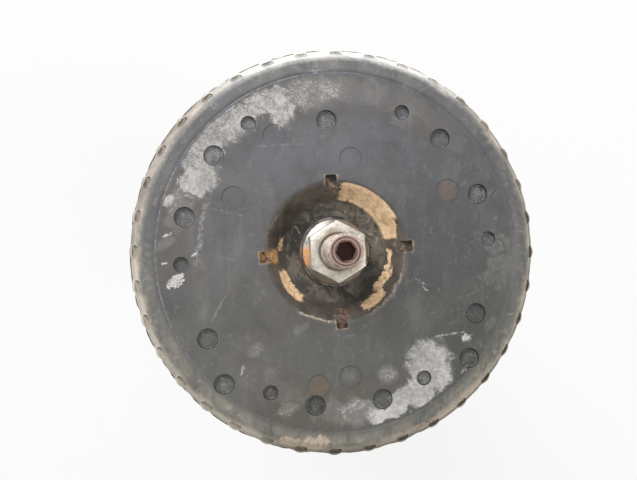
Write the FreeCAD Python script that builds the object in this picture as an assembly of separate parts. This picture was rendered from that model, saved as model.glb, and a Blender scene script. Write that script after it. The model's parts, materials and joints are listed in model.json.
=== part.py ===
import FreeCAD, Part
import math
import os

# A MacPherson strut: a twin-tube damper inside its coil spring, under a rubber top mount.
# Millimetres, +Z up as in the car. The origin is the middle of the mount's flat rubber face,
# and +Z is the axis of the rod. Everything but the stud, the nut and a raised rim lies below it.

# Gaps
RUNNING_GAP = 0.05      # radial, where one piece slides or turns in another
THREADING_GAP = 0.1     # radial, so that washers and sleeve pass over the thread
PASSING_GAP = 0.5       # where one piece turns or slides past another without touching
SEAT_GAP = 0.3          # between soft pieces and what they bear on across a joint

# Rod, nut and washers
STUD_RADIUS = 7.0       # M14 thread, from under the nut to the end
SHANK_RADIUS = 6.9      # plain, through the sleeve and washers
THREAD_PITCH = 1.5
STUD_ABOVE_NUT = 27.0
STUD_CHAMFER = 1.0
ROD_RADIUS = 11.0
SOCKET_ACROSS_FLATS = 7.0
SOCKET_DEPTH = 8.0
SOCKET_TURN = 10.0      # degrees from +Y to a corner
NUT_ACROSS_FLATS = 22.0
NUT_HEIGHT = 12.0
NUT_ABOVE_FACE = 6.0
NUT_FLANGE_RADIUS = 13.4
NUT_FLANGE_HEIGHT = 2.0
NUT_TURN = 2.8
NUT_CHAMFER_ANGLE = 25.0
STOP_WASHER_RADIUS = 14.4
STOP_WASHER_THICKNESS = 2.6
STOP_WASHER_STEP = 1.2

# Rubber top mount
MOUNT_RADIUS = 84.4     # over the swellings of its side wall
MOUNT_SLOPE_WIDTH = 4.6
MOUNT_SLOPE_DEPTH = 8.0
MOUNT_DEPTH = 24.0
MOUNT_FOOT_TAPER = 2.5
RIM_BAND_WIDTH = 6.3
RIM_BAND_HEIGHT = 0.6
PAD_THICKNESS = 9.0
UNDERLAY_THICKNESS = 2.5
UNDERLAY_INNER = 50.0
CUP_TOP_RADIUS = 28.7
CUP_FLOOR_RADIUS = 22.5
CUP_DEPTH = 9.6
CUP_EDGE = 1.6
NOTCH_COUNT = 4
NOTCH_TURN = 4.5
NOTCH_WIDTH = 4.6
NOTCH_INNER = 23.5
NOTCH_OUTER = 31.5
NOTCH_DEPTH = 5.0
POCKET_COUNT = 36
POCKET_WIDTH = 5.2
POCKET_RADIAL = 2.3
POCKET_INSET = 2.55     # from the outside of the mount to the middle of a pocket
POCKET_DEPTH = 7.0
LOBE_RADIUS = 4.6
LOBE_RISE = 0.9
SKIRT_DROP = 1.2        # from the foot of the slope to the plain rim below it
LARGE_RECESS_RADIUS = 4.2
SMALL_RECESS_RADIUS = 3.1
RECESS_DEPTH = 2.6
RECESS_SHARE = 0.86     # radius of the recess circle, as a share of the flat face's radius
SMALL_RECESS_COUNT = 6
SMALL_RECESS_TURN = 4.8
PAIR_COUNT = 3
PAIR_TURN = 34.8
PAIR_HALF_ANGLE = 12.6
LONE_RECESSES = ((0.732, 94.5), (0.857, 213.9), (0.857, 336.2), (0.956, 229.6), (0.956, 321.4))
PLUG_RADIUS = 4.7
PLUG_DEPTH = 0.35
PLUGS = ((0.524, 81.4), (0.729, 118.5), (0.646, 152.8), (0.714, 28.9), (0.752, 262.4), (0.701, 276.4))

# Steel dish and sleeve bonded into the rubber
INSERT_THICKNESS = 2.5
INSERT_COVER = 7.9      # rubber outside the edge of the dish
INSERT_LIP = 5.0
POT_RADIUS = 31.0
POT_DEPTH = 21.0
POT_LIP_RADIUS = 20.5
CORE_RADIUS = 11.5
CORE_LENGTH = 28.4
CORE_FLANGE_RADIUS = 14.9
CORE_FLANGE_THICKNESS = 1.6
CORE_COLLAR_RADIUS = 19.0
CORE_COLLAR_THICKNESS = 3.0
CORE_COLLAR_DROP = 12.0
BUSH_GROOVE_DEPTH = 5.0
SUPPORT_WASHER_THICKNESS = 3.0
SUPPORT_WASHER_RADIUS = 26.5
SUPPORT_WASHER_LIP = 7.0

# Strut bearing
BALL_RADIUS = 3.0
BALL_COUNT = 16
BALL_CIRCLE = 38.5
UPPER_RACE_THICKNESS = 7.0
LOWER_RACE_THICKNESS = 5.5
RACE_SPACING = 3.0
RACE_RADIUS = 45.6
RACE_SKIRT = 1.8
CAGE_THICKNESS = 1.4
CAGE_INNER = 34.0
CAGE_OUTER = 43.0

# Upper spring seat and the spring
SEAT_THICKNESS = 2.5
SEAT_SHELF_RADIUS = 48.0
SEAT_DROP = 9.0
SEAT_LIP = 5.0
SEAT_COLLAR_DEPTH = 22.0
SPRING_RADIUS = 68.0    # to the middle of the wire
WIRE_RADIUS = 6.5
SPRING_TURNS = 6.25     # its length follows from the seats: 300 mm with the strut fully extended
DEAD_TURNS = 0.62
EASING_TURNS = 0.35
ARCS_PER_TURN = 8
ISOLATOR_RIM = 3.0      # rubber outside the wire
ISOLATOR_HEEL = 2.0     # rubber inside the wire
ISOLATOR_FLOOR = 4.0
ISOLATOR_WALL = 4.0

# Damper
STROKE = 130.0          # from full rebound until the tube meets the bump stop
BUMP_STOP_LENGTH = 55.0
BUMP_STOP_RADIUS = 23.0
BUMP_STOP_WAIST = 18.0
BUMP_STOP_WAISTS = 3
BUMP_STOP_NOSE = 15.0
TUBE_RADIUS = 25.5
TUBE_WALL = 2.0
TUBE_LENGTH = 282.0
INNER_TUBE_BORE = 15.0
INNER_TUBE_WALL = 1.2
CAP_THICKNESS = 1.6
CAP_SKIRT = 12.0
GUIDE_HEIGHT = 22.0
GUIDE_SPIGOT = 8.0
BUSH_WALL = 1.25
BUSH_LENGTH = 14.0
SEAL_HEIGHT = 7.0
SEAL_SPRING_RADIUS = 0.9
REBOUND_CUSHION_HEIGHT = 6.0
REBOUND_STOP_HEIGHT = 5.0
STOP_TO_PISTON = 46.0
PISTON_HEIGHT = 16.0
PISTON_BAND_HEIGHT = 9.0
PISTON_BAND_WALL = 0.9
PISTON_PORTS = 8
PISTON_PORT_RADIUS = 1.3
PISTON_PORT_CIRCLE = 10.2
TAIL_RADIUS = 5.0
SHIM_THICKNESS = 0.4
SHIM_RADII = (12.6, 11.4, 9.8, 8.2)
BACKING_WASHER_RADIUS = 7.6
BACKING_WASHER_THICKNESS = 1.8
PISTON_NUT_ACROSS_FLATS = 15.0
PISTON_NUT_HEIGHT = 8.0
TAIL_BELOW_NUT = 1.5
BASE_CUP_DEPTH = 12.0
BASE_CUP_THICKNESS = 3.0
FOOT_FLANGE_HEIGHT = 4.0
FOOT_SPIGOT_HEIGHT = 7.0
FOOT_LEG_HEIGHT = 6.0
FOOT_PORTS = 6
FOOT_PORT_CIRCLE = 8.6
FOOT_BORE = 3.0
FOOT_SHIM_RADII = (11.2, 9.4, 7.8)

# Dust boot
BOOT_WALL = 1.6
BOOT_VALLEY_RADIUS = 28.5
BOOT_PEAK_RADIUS = 38.0
BOOT_FOLDS = 9
BOOT_CUFF = 10.0

# Lower spring seat
LOWER_SEAT_ABOVE_BOTTOM = 160.1     # from the tube's bottom to the underside of the flange
LOWER_SEAT_COLLAR = 16.0
LOWER_SEAT_DISH = 10.0
LOWER_SEAT_BEND = 5.5   # from the foot of the isolator in to the bend of the dish
LOWER_SEAT_LIP = 9.0
DRAIN_HOLES = 3
DRAIN_TURN = 30.0
DRAIN_RADIUS = 5.0
DRAIN_CIRCLE = 40.0

# Brackets on the tube
KNUCKLE_PLATE = 4.0
KNUCKLE_HEIGHT = 84.0
KNUCKLE_GAP = 25.0
KNUCKLE_REACH = 78.0
KNUCKLE_BOLT_RADIUS = 6.1
KNUCKLE_BOLT_REACH = 61.0
KNUCKLE_BOLT_SPACING = 50.0
KNUCKLE_ABOVE_BOTTOM = 8.0
KNUCKLE_CORNER = 14.0
KNUCKLE_WAIST_RADIUS = 20.0
KNUCKLE_WAIST_DEPTH = 9.0
LINK_PLATE = 4.0
LINK_HOLE_RADIUS = 5.1
LINK_HOLE_REACH = 44.0
LINK_TAB_WIDTH = 26.0
LINK_ABOVE_KNUCKLE = 20.0
LINK_SADDLE_ANGLE = 70.0
LINK_DIRECTION = 180.0
HOSE_PLATE = 2.5
HOSE_HOLE_RADIUS = 5.5
HOSE_HOLE_REACH = 42.0
HOSE_TAB_WIDTH = 20.0
HOSE_ABOVE_KNUCKLE = 26.0
HOSE_SADDLE_ANGLE = 50.0
HOSE_DIRECTION = 0.0

# Heights and radii that follow from the sizes above
nut_top = NUT_ABOVE_FACE
nut_base = nut_top - NUT_HEIGHT
core_top = nut_base - STOP_WASHER_THICKNESS
core_bottom = core_top - CORE_LENGTH
shoulder = core_bottom - SUPPORT_WASHER_THICKNESS
stud_end = nut_top + STUD_ABOVE_NUT
clamp_bore = STUD_RADIUS + THREADING_GAP
pitch_line = STUD_RADIUS - 0.325 * THREAD_PITCH
mount_shoulder = MOUNT_RADIUS - MOUNT_SLOPE_WIDTH
skirt_top = -MOUNT_SLOPE_DEPTH - SKIRT_DROP - LOBE_RISE
face_radius = mount_shoulder - RIM_BAND_WIDTH
mount_foot = MOUNT_RADIUS - MOUNT_FOOT_TAPER
insert_radius = MOUNT_RADIUS - INSERT_COVER
isolator_inner = SPRING_RADIUS - WIRE_RADIUS - ISOLATOR_HEEL
isolator_outer = SPRING_RADIUS + WIRE_RADIUS + ISOLATOR_RIM
seat_radius = isolator_outer + PASSING_GAP + SEAT_THICKNESS
seat_flange_inner = isolator_inner - SEAT_THICKNESS
insert_top = -PAD_THICKNESS
insert_under = insert_top - INSERT_THICKNESS
pot_bottom = insert_top - POT_DEPTH
upper_race_bottom = insert_under - UPPER_RACE_THICKNESS
ball_height = upper_race_bottom - RACE_SPACING / 2
lower_race_top = upper_race_bottom - RACE_SPACING
shelf_top = lower_race_top - LOWER_RACE_THICKNESS
flange_top = shelf_top - SEAT_DROP
flange_under = flange_top - SEAT_THICKNESS
spring_top = flange_under - ISOLATOR_FLOOR
bump_stop_bottom = shoulder - BUMP_STOP_LENGTH
cap_top = bump_stop_bottom - STROKE - PASSING_GAP
tube_top = cap_top - CAP_THICKNESS
tube_bottom = tube_top - TUBE_LENGTH
seal_top = tube_top
guide_top = seal_top - SEAL_HEIGHT
guide_bottom = guide_top - GUIDE_HEIGHT
cushion_top = guide_bottom - SEAT_GAP
rebound_stop_top = cushion_top - REBOUND_CUSHION_HEIGHT
rebound_stop_bottom = rebound_stop_top - REBOUND_STOP_HEIGHT
stack_height = SHIM_THICKNESS * len(SHIM_RADII)
tail_top = rebound_stop_bottom - STOP_TO_PISTON
upper_shims_top = tail_top - BACKING_WASHER_THICKNESS
piston_top = upper_shims_top - stack_height
piston_bottom = piston_top - PISTON_HEIGHT
lower_shims_bottom = piston_bottom - stack_height
piston_nut_top = lower_shims_bottom - BACKING_WASHER_THICKNESS
piston_nut_bottom = piston_nut_top - PISTON_NUT_HEIGHT
rod_bottom = piston_nut_bottom - TAIL_BELOW_NUT
base_cup_floor = tube_bottom + BASE_CUP_THICKNESS
foot_flange_bottom = base_cup_floor + FOOT_LEG_HEIGHT
foot_flange_top = foot_flange_bottom + FOOT_FLANGE_HEIGHT
foot_top = foot_flange_top + FOOT_SPIGOT_HEIGHT
tube_bore = TUBE_RADIUS - TUBE_WALL
inner_tube_radius = INNER_TUBE_BORE + INNER_TUBE_WALL
lower_flange_under = tube_bottom + LOWER_SEAT_ABOVE_BOTTOM
spring_bottom = lower_flange_under + SEAT_THICKNESS + ISOLATOR_FLOOR
knuckle_bottom = tube_bottom + KNUCKLE_ABOVE_BOTTOM
knuckle_top = knuckle_bottom + KNUCKLE_HEIGHT
knuckle_middle = (knuckle_bottom + knuckle_top) / 2
insert_pot_bore = POT_RADIUS - INSERT_THICKNESS

AXIS = FreeCAD.Vector(0, 0, 1)
CENTRE = FreeCAD.Vector(0, 0, 0)


def turned(points):
    """A solid of revolution about Z from (radius, height) corners."""
    corners = [FreeCAD.Vector(r, 0, z) for r, z in points]
    face = Part.Face(Part.makePolygon(corners + corners[:1]))
    return face.revolve(CENTRE, AXIS, 360)


def ring(inner, outer, bottom, top):
    return turned([(inner, bottom), (outer, bottom), (outer, top), (inner, top)])


def disc(radius, bottom, height, x=0.0, y=0.0):
    return Part.makeCylinder(radius, height, FreeCAD.Vector(x, y, bottom))


def polar(radius, degrees):
    return radius * math.cos(math.radians(degrees)), radius * math.sin(math.radians(degrees))


def hexagon(across_flats, bottom, height, turn=0.0):
    """A hexagonal prism with one corner at `turn` degrees from +Y."""
    corner = across_flats / 2 / math.cos(math.radians(30))
    points = [FreeCAD.Vector(*polar(corner, 90 + turn + 60 * i), bottom) for i in range(6)]
    return Part.Face(Part.makePolygon(points + points[:1])).extrude(AXIS * height)


def block(x0, x1, y0, y1, z0, z1):
    return Part.makeBox(x1 - x0, y1 - y0, z1 - z0, FreeCAD.Vector(x0, y0, z0))


def spun(shape, degrees):
    copy = shape.copy()
    copy.rotate(CENTRE, AXIS, degrees)
    return copy


def around(shape, count, start=0.0):
    """Copies of a shape evenly spaced about the axis."""
    return [spun(shape, start + 360 / count * i) for i in range(count)]


def pressing(path, thickness):
    """The closed section of a sheet of even thickness. The path is its left side, seen along it."""
    sides = []
    for i in range(len(path) - 1):
        dx = path[i + 1][0] - path[i][0]
        dy = path[i + 1][1] - path[i][1]
        length = math.hypot(dx, dy)
        sides.append((dy / length, -dx / length))
    offset = []
    for i, (x, y) in enumerate(path):
        a = sides[max(i - 1, 0)]
        b = sides[min(i, len(sides) - 1)]
        spread = 1 + a[0] * b[0] + a[1] * b[1]
        offset.append((x + (a[0] + b[0]) / spread * thickness, y + (a[1] + b[1]) / spread * thickness))
    return list(path) + offset[::-1]


# The rod and what is clamped on its stud

def piston_rod():
    """The thread is a plain cylinder: full size where it stands free, and inside the nut its pitch line."""
    body = turned([
        (0, rod_bottom),
        (TAIL_RADIUS - 0.8, rod_bottom),
        (TAIL_RADIUS, rod_bottom + 0.8),
        (TAIL_RADIUS, tail_top),
        (ROD_RADIUS, tail_top),
        (ROD_RADIUS, shoulder),
        (SHANK_RADIUS, shoulder),
        (SHANK_RADIUS, nut_base),
        (pitch_line, nut_base),
        (pitch_line, nut_top),
        (STUD_RADIUS, nut_top),
        (STUD_RADIUS, stud_end - STUD_CHAMFER),
        (STUD_RADIUS - STUD_CHAMFER, stud_end),
        (0, stud_end),
    ])
    socket = hexagon(SOCKET_ACROSS_FLATS, stud_end - SOCKET_DEPTH, SOCKET_DEPTH, SOCKET_TURN)
    return body.cut(socket)


def rod_nut():
    """A flanged nut, its top corners turned off by a shallow cone."""
    corner = NUT_ACROSS_FLATS / 2 / math.cos(math.radians(30))
    flat = NUT_ACROSS_FLATS / 2 - 0.4
    fall = (corner + 1 - flat) * math.tan(math.radians(NUT_CHAMFER_ANGLE))
    cone = turned([
        (0, nut_base),
        (corner + 1, nut_base),
        (corner + 1, nut_top - fall),
        (flat, nut_top),
        (0, nut_top),
    ])
    body = hexagon(NUT_ACROSS_FLATS, nut_base, NUT_HEIGHT, NUT_TURN).common(cone)
    flange = turned([
        (0, nut_base),
        (NUT_FLANGE_RADIUS, nut_base),
        (NUT_FLANGE_RADIUS, nut_base + NUT_FLANGE_HEIGHT / 2),
        (NUT_ACROSS_FLATS / 2, nut_base + NUT_FLANGE_HEIGHT),
        (0, nut_base + NUT_FLANGE_HEIGHT),
    ])
    bore = turned([
        (0, nut_base),
        (pitch_line, nut_base),
        (pitch_line, nut_top - STUD_CHAMFER * 1.5),
        (STUD_RADIUS + STUD_CHAMFER, nut_top),
        (0, nut_top),
    ])
    return body.fuse(flange).cut(bore).removeSplitter()


def stop_washer():
    step = STOP_WASHER_STEP / 2
    return turned([
        (clamp_bore, core_top),
        (STOP_WASHER_RADIUS, core_top),
        (STOP_WASHER_RADIUS, nut_base - STOP_WASHER_STEP),
        (STOP_WASHER_RADIUS - step, nut_base - step),
        (NUT_FLANGE_RADIUS, nut_base - step),
        (NUT_FLANGE_RADIUS, nut_base),
        (clamp_bore, nut_base),
    ])


def mount_core():
    collar_top = core_top - CORE_COLLAR_DROP
    collar_bottom = collar_top - CORE_COLLAR_THICKNESS
    return turned([
        (clamp_bore, core_bottom),
        (CORE_RADIUS, core_bottom),
        (CORE_RADIUS, collar_bottom),
        (CORE_COLLAR_RADIUS, collar_bottom),
        (CORE_COLLAR_RADIUS, collar_top),
        (CORE_RADIUS, collar_top),
        (CORE_RADIUS, core_top - CORE_FLANGE_THICKNESS),
        (CORE_FLANGE_RADIUS, core_top - CORE_FLANGE_THICKNESS),
        (CORE_FLANGE_RADIUS, core_top),
        (clamp_bore, core_top),
    ])


def support_washer():
    path = [
        (SUPPORT_WASHER_RADIUS, shoulder - SUPPORT_WASHER_LIP + SUPPORT_WASHER_THICKNESS),
        (SUPPORT_WASHER_RADIUS, shoulder + 1.2),
        (SUPPORT_WASHER_RADIUS - 1.8, core_bottom),
        (clamp_bore, core_bottom),
    ]
    return turned(pressing(path[::-1], SUPPORT_WASHER_THICKNESS))


# The mount: rubber bonded round a steel dish and the core

def mount_insert():
    """A flange under the rubber pad, its edge turned down, and a pot round the bonded bush."""
    path = [
        (insert_radius, insert_top - INSERT_LIP),
        (insert_radius, insert_top - 1.5),
        (insert_radius - 1.5, insert_top),
        (insert_pot_bore, insert_top),
        (insert_pot_bore, pot_bottom + INSERT_THICKNESS),
        (POT_LIP_RADIUS, pot_bottom + INSERT_THICKNESS),
    ]
    return turned(pressing(path[::-1], INSERT_THICKNESS))


def mount_blank():
    """The outside of the rubber, before its moulded details and without the steel inside it."""
    floor = -CUP_DEPTH
    edge = CUP_EDGE
    groove = (CORE_RADIUS + insert_pot_bore) / 2
    return turned([
        (CORE_RADIUS, floor),
        (CUP_FLOOR_RADIUS - 1.2, floor),
        (CUP_FLOOR_RADIUS, floor + 1.0),
        (CUP_TOP_RADIUS - edge, -edge * 1.4),
        (CUP_TOP_RADIUS - edge * 0.35, -edge * 0.35),
        (CUP_TOP_RADIUS + edge * 0.6, 0),
        (face_radius, 0),
        (face_radius + 0.8, RIM_BAND_HEIGHT),
        (mount_shoulder - 1.6, RIM_BAND_HEIGHT),
        (mount_shoulder - 0.4, RIM_BAND_HEIGHT - 0.3),
        (mount_shoulder, RIM_BAND_HEIGHT - 1.0),
        (MOUNT_RADIUS - LOBE_RISE, -MOUNT_SLOPE_DEPTH),
        (MOUNT_RADIUS - LOBE_RISE, -MOUNT_SLOPE_DEPTH - SKIRT_DROP),
        (MOUNT_RADIUS, skirt_top),
        (MOUNT_RADIUS, skirt_top - 4),
        (mount_foot, -MOUNT_DEPTH + 2),
        (mount_foot - 2, -MOUNT_DEPTH),
        (insert_radius - 1, -MOUNT_DEPTH),
        (insert_radius - INSERT_THICKNESS - 4, insert_under - UNDERLAY_THICKNESS),
        (UNDERLAY_INNER + 2, insert_under - UNDERLAY_THICKNESS),
        (UNDERLAY_INNER, insert_under),
        (POT_RADIUS, insert_under),
        (POT_RADIUS, pot_bottom),
        (groove + 4, pot_bottom),
        (groove, pot_bottom + BUSH_GROOVE_DEPTH),
        (groove - 4, pot_bottom),
        (CORE_RADIUS, pot_bottom),
    ])


def rim_lobe():
    """One of the small swellings of the side wall, each behind its pocket."""
    top = -MOUNT_SLOPE_DEPTH * 0.25
    bottom = skirt_top - 1
    middle = MOUNT_RADIUS - LOBE_RADIUS
    upright = disc(LOBE_RADIUS, bottom, top - bottom, middle, 0)
    cone = Part.makeCone(MOUNT_RADIUS, mount_shoulder + LOBE_RISE, MOUNT_SLOPE_DEPTH + RIM_BAND_HEIGHT,
                         FreeCAD.Vector(0, 0, -MOUNT_SLOPE_DEPTH))
    skirt = disc(MOUNT_RADIUS + 1, bottom, -MOUNT_SLOPE_DEPTH - bottom)
    return upright.common(cone.fuse(skirt))


def rim_pocket():
    """A crescent-shaped pocket, straight down into the sloping shoulder."""
    top = RIM_BAND_HEIGHT + 1
    bottom = -POCKET_DEPTH
    half = POCKET_WIDTH / 2
    inner = MOUNT_RADIUS - POCKET_INSET - POCKET_RADIAL / 2
    outer = inner + POCKET_RADIAL
    points = [
        FreeCAD.Vector(inner, -half * 0.8, bottom),
        FreeCAD.Vector(outer - 0.4, -half, bottom),
        FreeCAD.Vector(outer, -half * 0.5, bottom),
        FreeCAD.Vector(outer, half * 0.5, bottom),
        FreeCAD.Vector(outer - 0.4, half, bottom),
        FreeCAD.Vector(inner, half * 0.8, bottom),
    ]
    return Part.Face(Part.makePolygon(points + points[:1])).extrude(AXIS * (top - bottom))


def cup_notches():
    half = NOTCH_WIDTH / 2
    notch = block(NOTCH_INNER, NOTCH_OUTER + 1, -half, half, -NOTCH_DEPTH, 1)
    notch = notch.common(disc(NOTCH_OUTER, -NOTCH_DEPTH, NOTCH_DEPTH + 1))
    return around(notch, NOTCH_COUNT, NOTCH_TURN)


def face_recesses():
    """Round blind recesses: two rings of a regular pattern, single ones, and shallow plug marks."""
    cuts = []
    circle = face_radius * RECESS_SHARE
    for i in range(SMALL_RECESS_COUNT):
        x, y = polar(circle, SMALL_RECESS_TURN + 360 / SMALL_RECESS_COUNT * i)
        cuts.append(disc(SMALL_RECESS_RADIUS, -RECESS_DEPTH, RECESS_DEPTH + 1, x, y))
    for i in range(PAIR_COUNT):
        for side in (-1, 1):
            x, y = polar(circle, PAIR_TURN + 360 / PAIR_COUNT * i + side * PAIR_HALF_ANGLE)
            cuts.append(disc(LARGE_RECESS_RADIUS, -RECESS_DEPTH, RECESS_DEPTH + 1, x, y))
    for share, angle in LONE_RECESSES:
        x, y = polar(face_radius * share, angle)
        cuts.append(disc(LARGE_RECESS_RADIUS, -RECESS_DEPTH, RECESS_DEPTH + 1, x, y))
    for share, angle in PLUGS:
        x, y = polar(face_radius * share, angle)
        cuts.append(disc(PLUG_RADIUS, -PLUG_DEPTH, PLUG_DEPTH + 1, x, y))
    return cuts


def mount_rubber():
    lobes = around(rim_lobe(), POCKET_COUNT, 0)
    pockets = around(rim_pocket(), POCKET_COUNT, 0)
    body = mount_blank().fuse(lobes)
    return body.cut(pockets + cup_notches() + face_recesses() + [mount_insert(), mount_core()])


# The strut bearing

def ball_groove():
    return Part.makeTorus(BALL_CIRCLE, BALL_RADIUS + RUNNING_GAP, FreeCAD.Vector(0, 0, ball_height))


def bearing_upper_race():
    """Its skirt hangs past the lower race and keeps the dirt out."""
    skirt_inner = RACE_RADIUS + PASSING_GAP
    skirt_bottom = lower_race_top - LOWER_RACE_THICKNESS * 0.6
    body = turned([
        (POT_RADIUS, upper_race_bottom),
        (skirt_inner, upper_race_bottom),
        (skirt_inner, skirt_bottom),
        (skirt_inner + RACE_SKIRT, skirt_bottom),
        (skirt_inner + RACE_SKIRT, insert_under - 1),
        (skirt_inner + RACE_SKIRT - 1, insert_under),
        (POT_RADIUS, insert_under),
    ])
    return body.cut(ball_groove())


def bearing_lower_race():
    body = ring(POT_RADIUS + PASSING_GAP, RACE_RADIUS, shelf_top, lower_race_top)
    return body.cut(ball_groove())


def bearing_balls():
    ball = Part.makeSphere(BALL_RADIUS, FreeCAD.Vector(BALL_CIRCLE, 0, ball_height))
    return Part.makeCompound(around(ball, BALL_COUNT))


def ball_cage():
    half = CAGE_THICKNESS / 2
    body = ring(CAGE_INNER, CAGE_OUTER, ball_height - half, ball_height + half)
    seat = disc(BALL_RADIUS + RUNNING_GAP, ball_height - half, CAGE_THICKNESS, BALL_CIRCLE, 0)
    return body.cut(around(seat, BALL_COUNT))


# The upper spring seat and the spring

def upper_spring_seat():
    inner = POT_RADIUS + PASSING_GAP
    path = [
        (inner, shelf_top - SEAT_COLLAR_DEPTH),
        (inner, shelf_top),
        (SEAT_SHELF_RADIUS, shelf_top),
        (seat_flange_inner, flange_top),
        (seat_radius - 1, flange_top),
        (seat_radius, flange_top - 1),
        (seat_radius, flange_top - SEAT_LIP),
    ]
    return turned(pressing(path, SEAT_THICKNESS))


def isolator(floor, rise):
    """A rubber ring between seat and spring. It stands off `floor` by `rise`, up or down."""
    step = 1 if rise > 0 else -1
    top = floor + step * (ISOLATOR_FLOOR + ISOLATOR_WALL)
    return turned([
        (isolator_inner, floor),
        (isolator_outer, floor),
        (isolator_outer, top - step * 1.5),
        (isolator_outer - 1.5, top),
        (isolator_inner + 1.5, top),
        (isolator_inner, top - step * 1.5),
    ])


def coil_groove(height):
    return Part.makeTorus(SPRING_RADIUS, WIRE_RADIUS + SEAT_GAP, FreeCAD.Vector(0, 0, height))


def upper_isolator():
    return isolator(flange_under, -1).cut(coil_groove(spring_top - WIRE_RADIUS))


def lower_isolator():
    return isolator(spring_bottom - ISOLATOR_FLOOR, 1).cut(coil_groove(spring_bottom + WIRE_RADIUS))


def eased(turns):
    """How far the wire has risen, in units of the active pitch, `turns` from a flat end."""
    past = turns - DEAD_TURNS
    if past <= 0:
        return 0.0
    if past < EASING_TURNS:
        return past * past / (2 * EASING_TURNS)
    return past - EASING_TURNS / 2


def wire_point(turns, pitch):
    half = SPRING_TURNS / 2
    fallen = eased(turns) if turns <= half else 2 * eased(half) - eased(SPRING_TURNS - turns)
    x, y = polar(SPRING_RADIUS, -360 * turns)
    return FreeCAD.Vector(x, y, spring_top - WIRE_RADIUS - fallen * pitch)


def coil_spring():
    """Round wire with flat, seated ends that ease into an even pitch."""
    rise = spring_top - spring_bottom - 2 * WIRE_RADIUS
    pitch = rise / 2 / eased(SPRING_TURNS / 2)
    count = round(SPRING_TURNS * ARCS_PER_TURN)
    step = SPRING_TURNS / count
    arcs = []
    for i in range(count):
        stations = [wire_point(step * (i + part), pitch) for part in (0, 0.5, 1)]
        arcs.append(Part.Arc(*stations).toShape())
    start = Part.makeCircle(WIRE_RADIUS, wire_point(0, pitch), FreeCAD.Vector(0, -1, 0))
    return Part.Wire(arcs).makePipeShell([Part.Wire([start])], True, True, 1)


# Boot and bump stop

def bump_stop():
    """Foamed rubber on the rod, with waists so that it folds evenly, tapering to its nose."""
    top = shoulder
    span = BUMP_STOP_LENGTH / (BUMP_STOP_WAISTS + 1)
    points = [(ROD_RADIUS, bump_stop_bottom), (BUMP_STOP_NOSE, bump_stop_bottom)]
    for i in range(BUMP_STOP_WAISTS):
        share = (i + 1) / (BUMP_STOP_WAISTS + 1)
        full = BUMP_STOP_NOSE + (BUMP_STOP_RADIUS - BUMP_STOP_NOSE) * min(1, share * 1.6)
        waist = bump_stop_bottom + span * (i + 1)
        points.append((full, waist - span * 0.45))
        points.append((BUMP_STOP_WAIST - 2 + 2 * share, waist))
    points.append((BUMP_STOP_RADIUS, top - span * 0.6))
    points.append((BUMP_STOP_RADIUS, top))
    points.append((ROD_RADIUS, top))
    return turned(points)


def dust_boot():
    """Bellows from the collar of the upper seat down to the cap of the tube."""
    top = shelf_top - SEAT_COLLAR_DEPTH + BOOT_CUFF
    cuff_radius = POT_RADIUS + PASSING_GAP + SEAT_THICKNESS
    bottom = cap_top - BOOT_CUFF
    foot_radius = TUBE_RADIUS + CAP_THICKNESS + SEAT_GAP
    fold_top = top - BOOT_CUFF - 2
    fold_bottom = bottom + BOOT_CUFF + 2
    pitch = (fold_top - fold_bottom) / BOOT_FOLDS
    path = [(cuff_radius, top), (cuff_radius, fold_top)]
    for i in range(BOOT_FOLDS):
        path.append((BOOT_PEAK_RADIUS, fold_top - pitch * (i + 0.5)))
        if i < BOOT_FOLDS - 1:
            path.append((BOOT_VALLEY_RADIUS, fold_top - pitch * (i + 1)))
    path.append((foot_radius, fold_bottom))
    path.append((foot_radius, bottom))
    return turned(pressing(path[::-1], BOOT_WALL))


# The damper's head

def outer_tube():
    return ring(tube_bore, TUBE_RADIUS, tube_bottom, tube_top)


def tube_cap():
    """A steel cap pressed over the tube's end: the bump stop lands on it."""
    inner = ROD_RADIUS + 2.5
    outer = TUBE_RADIUS + CAP_THICKNESS
    path = [(inner, cap_top), (outer, cap_top), (outer, cap_top - CAP_SKIRT)]
    return turned(pressing(path, CAP_THICKNESS))


def oil_seal():
    """Held between cap and guide: a main lip on the rod, with room for its garter spring."""
    lip = ROD_RADIUS + RUNNING_GAP
    body = turned([
        (lip + 1.6, guide_top),
        (tube_bore, guide_top),
        (tube_bore, seal_top),
        (lip + 1.6, seal_top),
        (lip, seal_top - 1.6),
        (lip + 1.8, seal_top - 3.2),
        (lip, guide_top + 1.8),
    ])
    return body.cut(seal_spring())


def seal_spring():
    radius = ROD_RADIUS + 4.2
    return Part.makeTorus(radius, SEAL_SPRING_RADIUS, FreeCAD.Vector(0, 0, guide_top + SEAL_HEIGHT * 0.4))


def rod_guide():
    bore = ROD_RADIUS + RUNNING_GAP + BUSH_WALL
    spigot_top = guide_bottom + GUIDE_SPIGOT
    body = turned([
        (bore, guide_bottom),
        (INNER_TUBE_BORE - 1, guide_bottom),
        (INNER_TUBE_BORE, guide_bottom + 1),
        (INNER_TUBE_BORE, spigot_top),
        (tube_bore, spigot_top),
        (tube_bore, guide_top),
        (bore, guide_top),
    ])
    drain = disc(1.5, spigot_top, guide_top - spigot_top, (inner_tube_radius + tube_bore) / 2, 0)
    return body.cut(around(drain, 4, 45))


def rod_bush():
    middle = (guide_top + guide_bottom) / 2
    inner = ROD_RADIUS + RUNNING_GAP
    return ring(inner, inner + BUSH_WALL, middle - BUSH_LENGTH / 2, middle + BUSH_LENGTH / 2)


def inner_tube():
    return ring(INNER_TUBE_BORE, inner_tube_radius, foot_flange_top, guide_bottom + GUIDE_SPIGOT)


# Rebound stop, piston and valves

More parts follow.
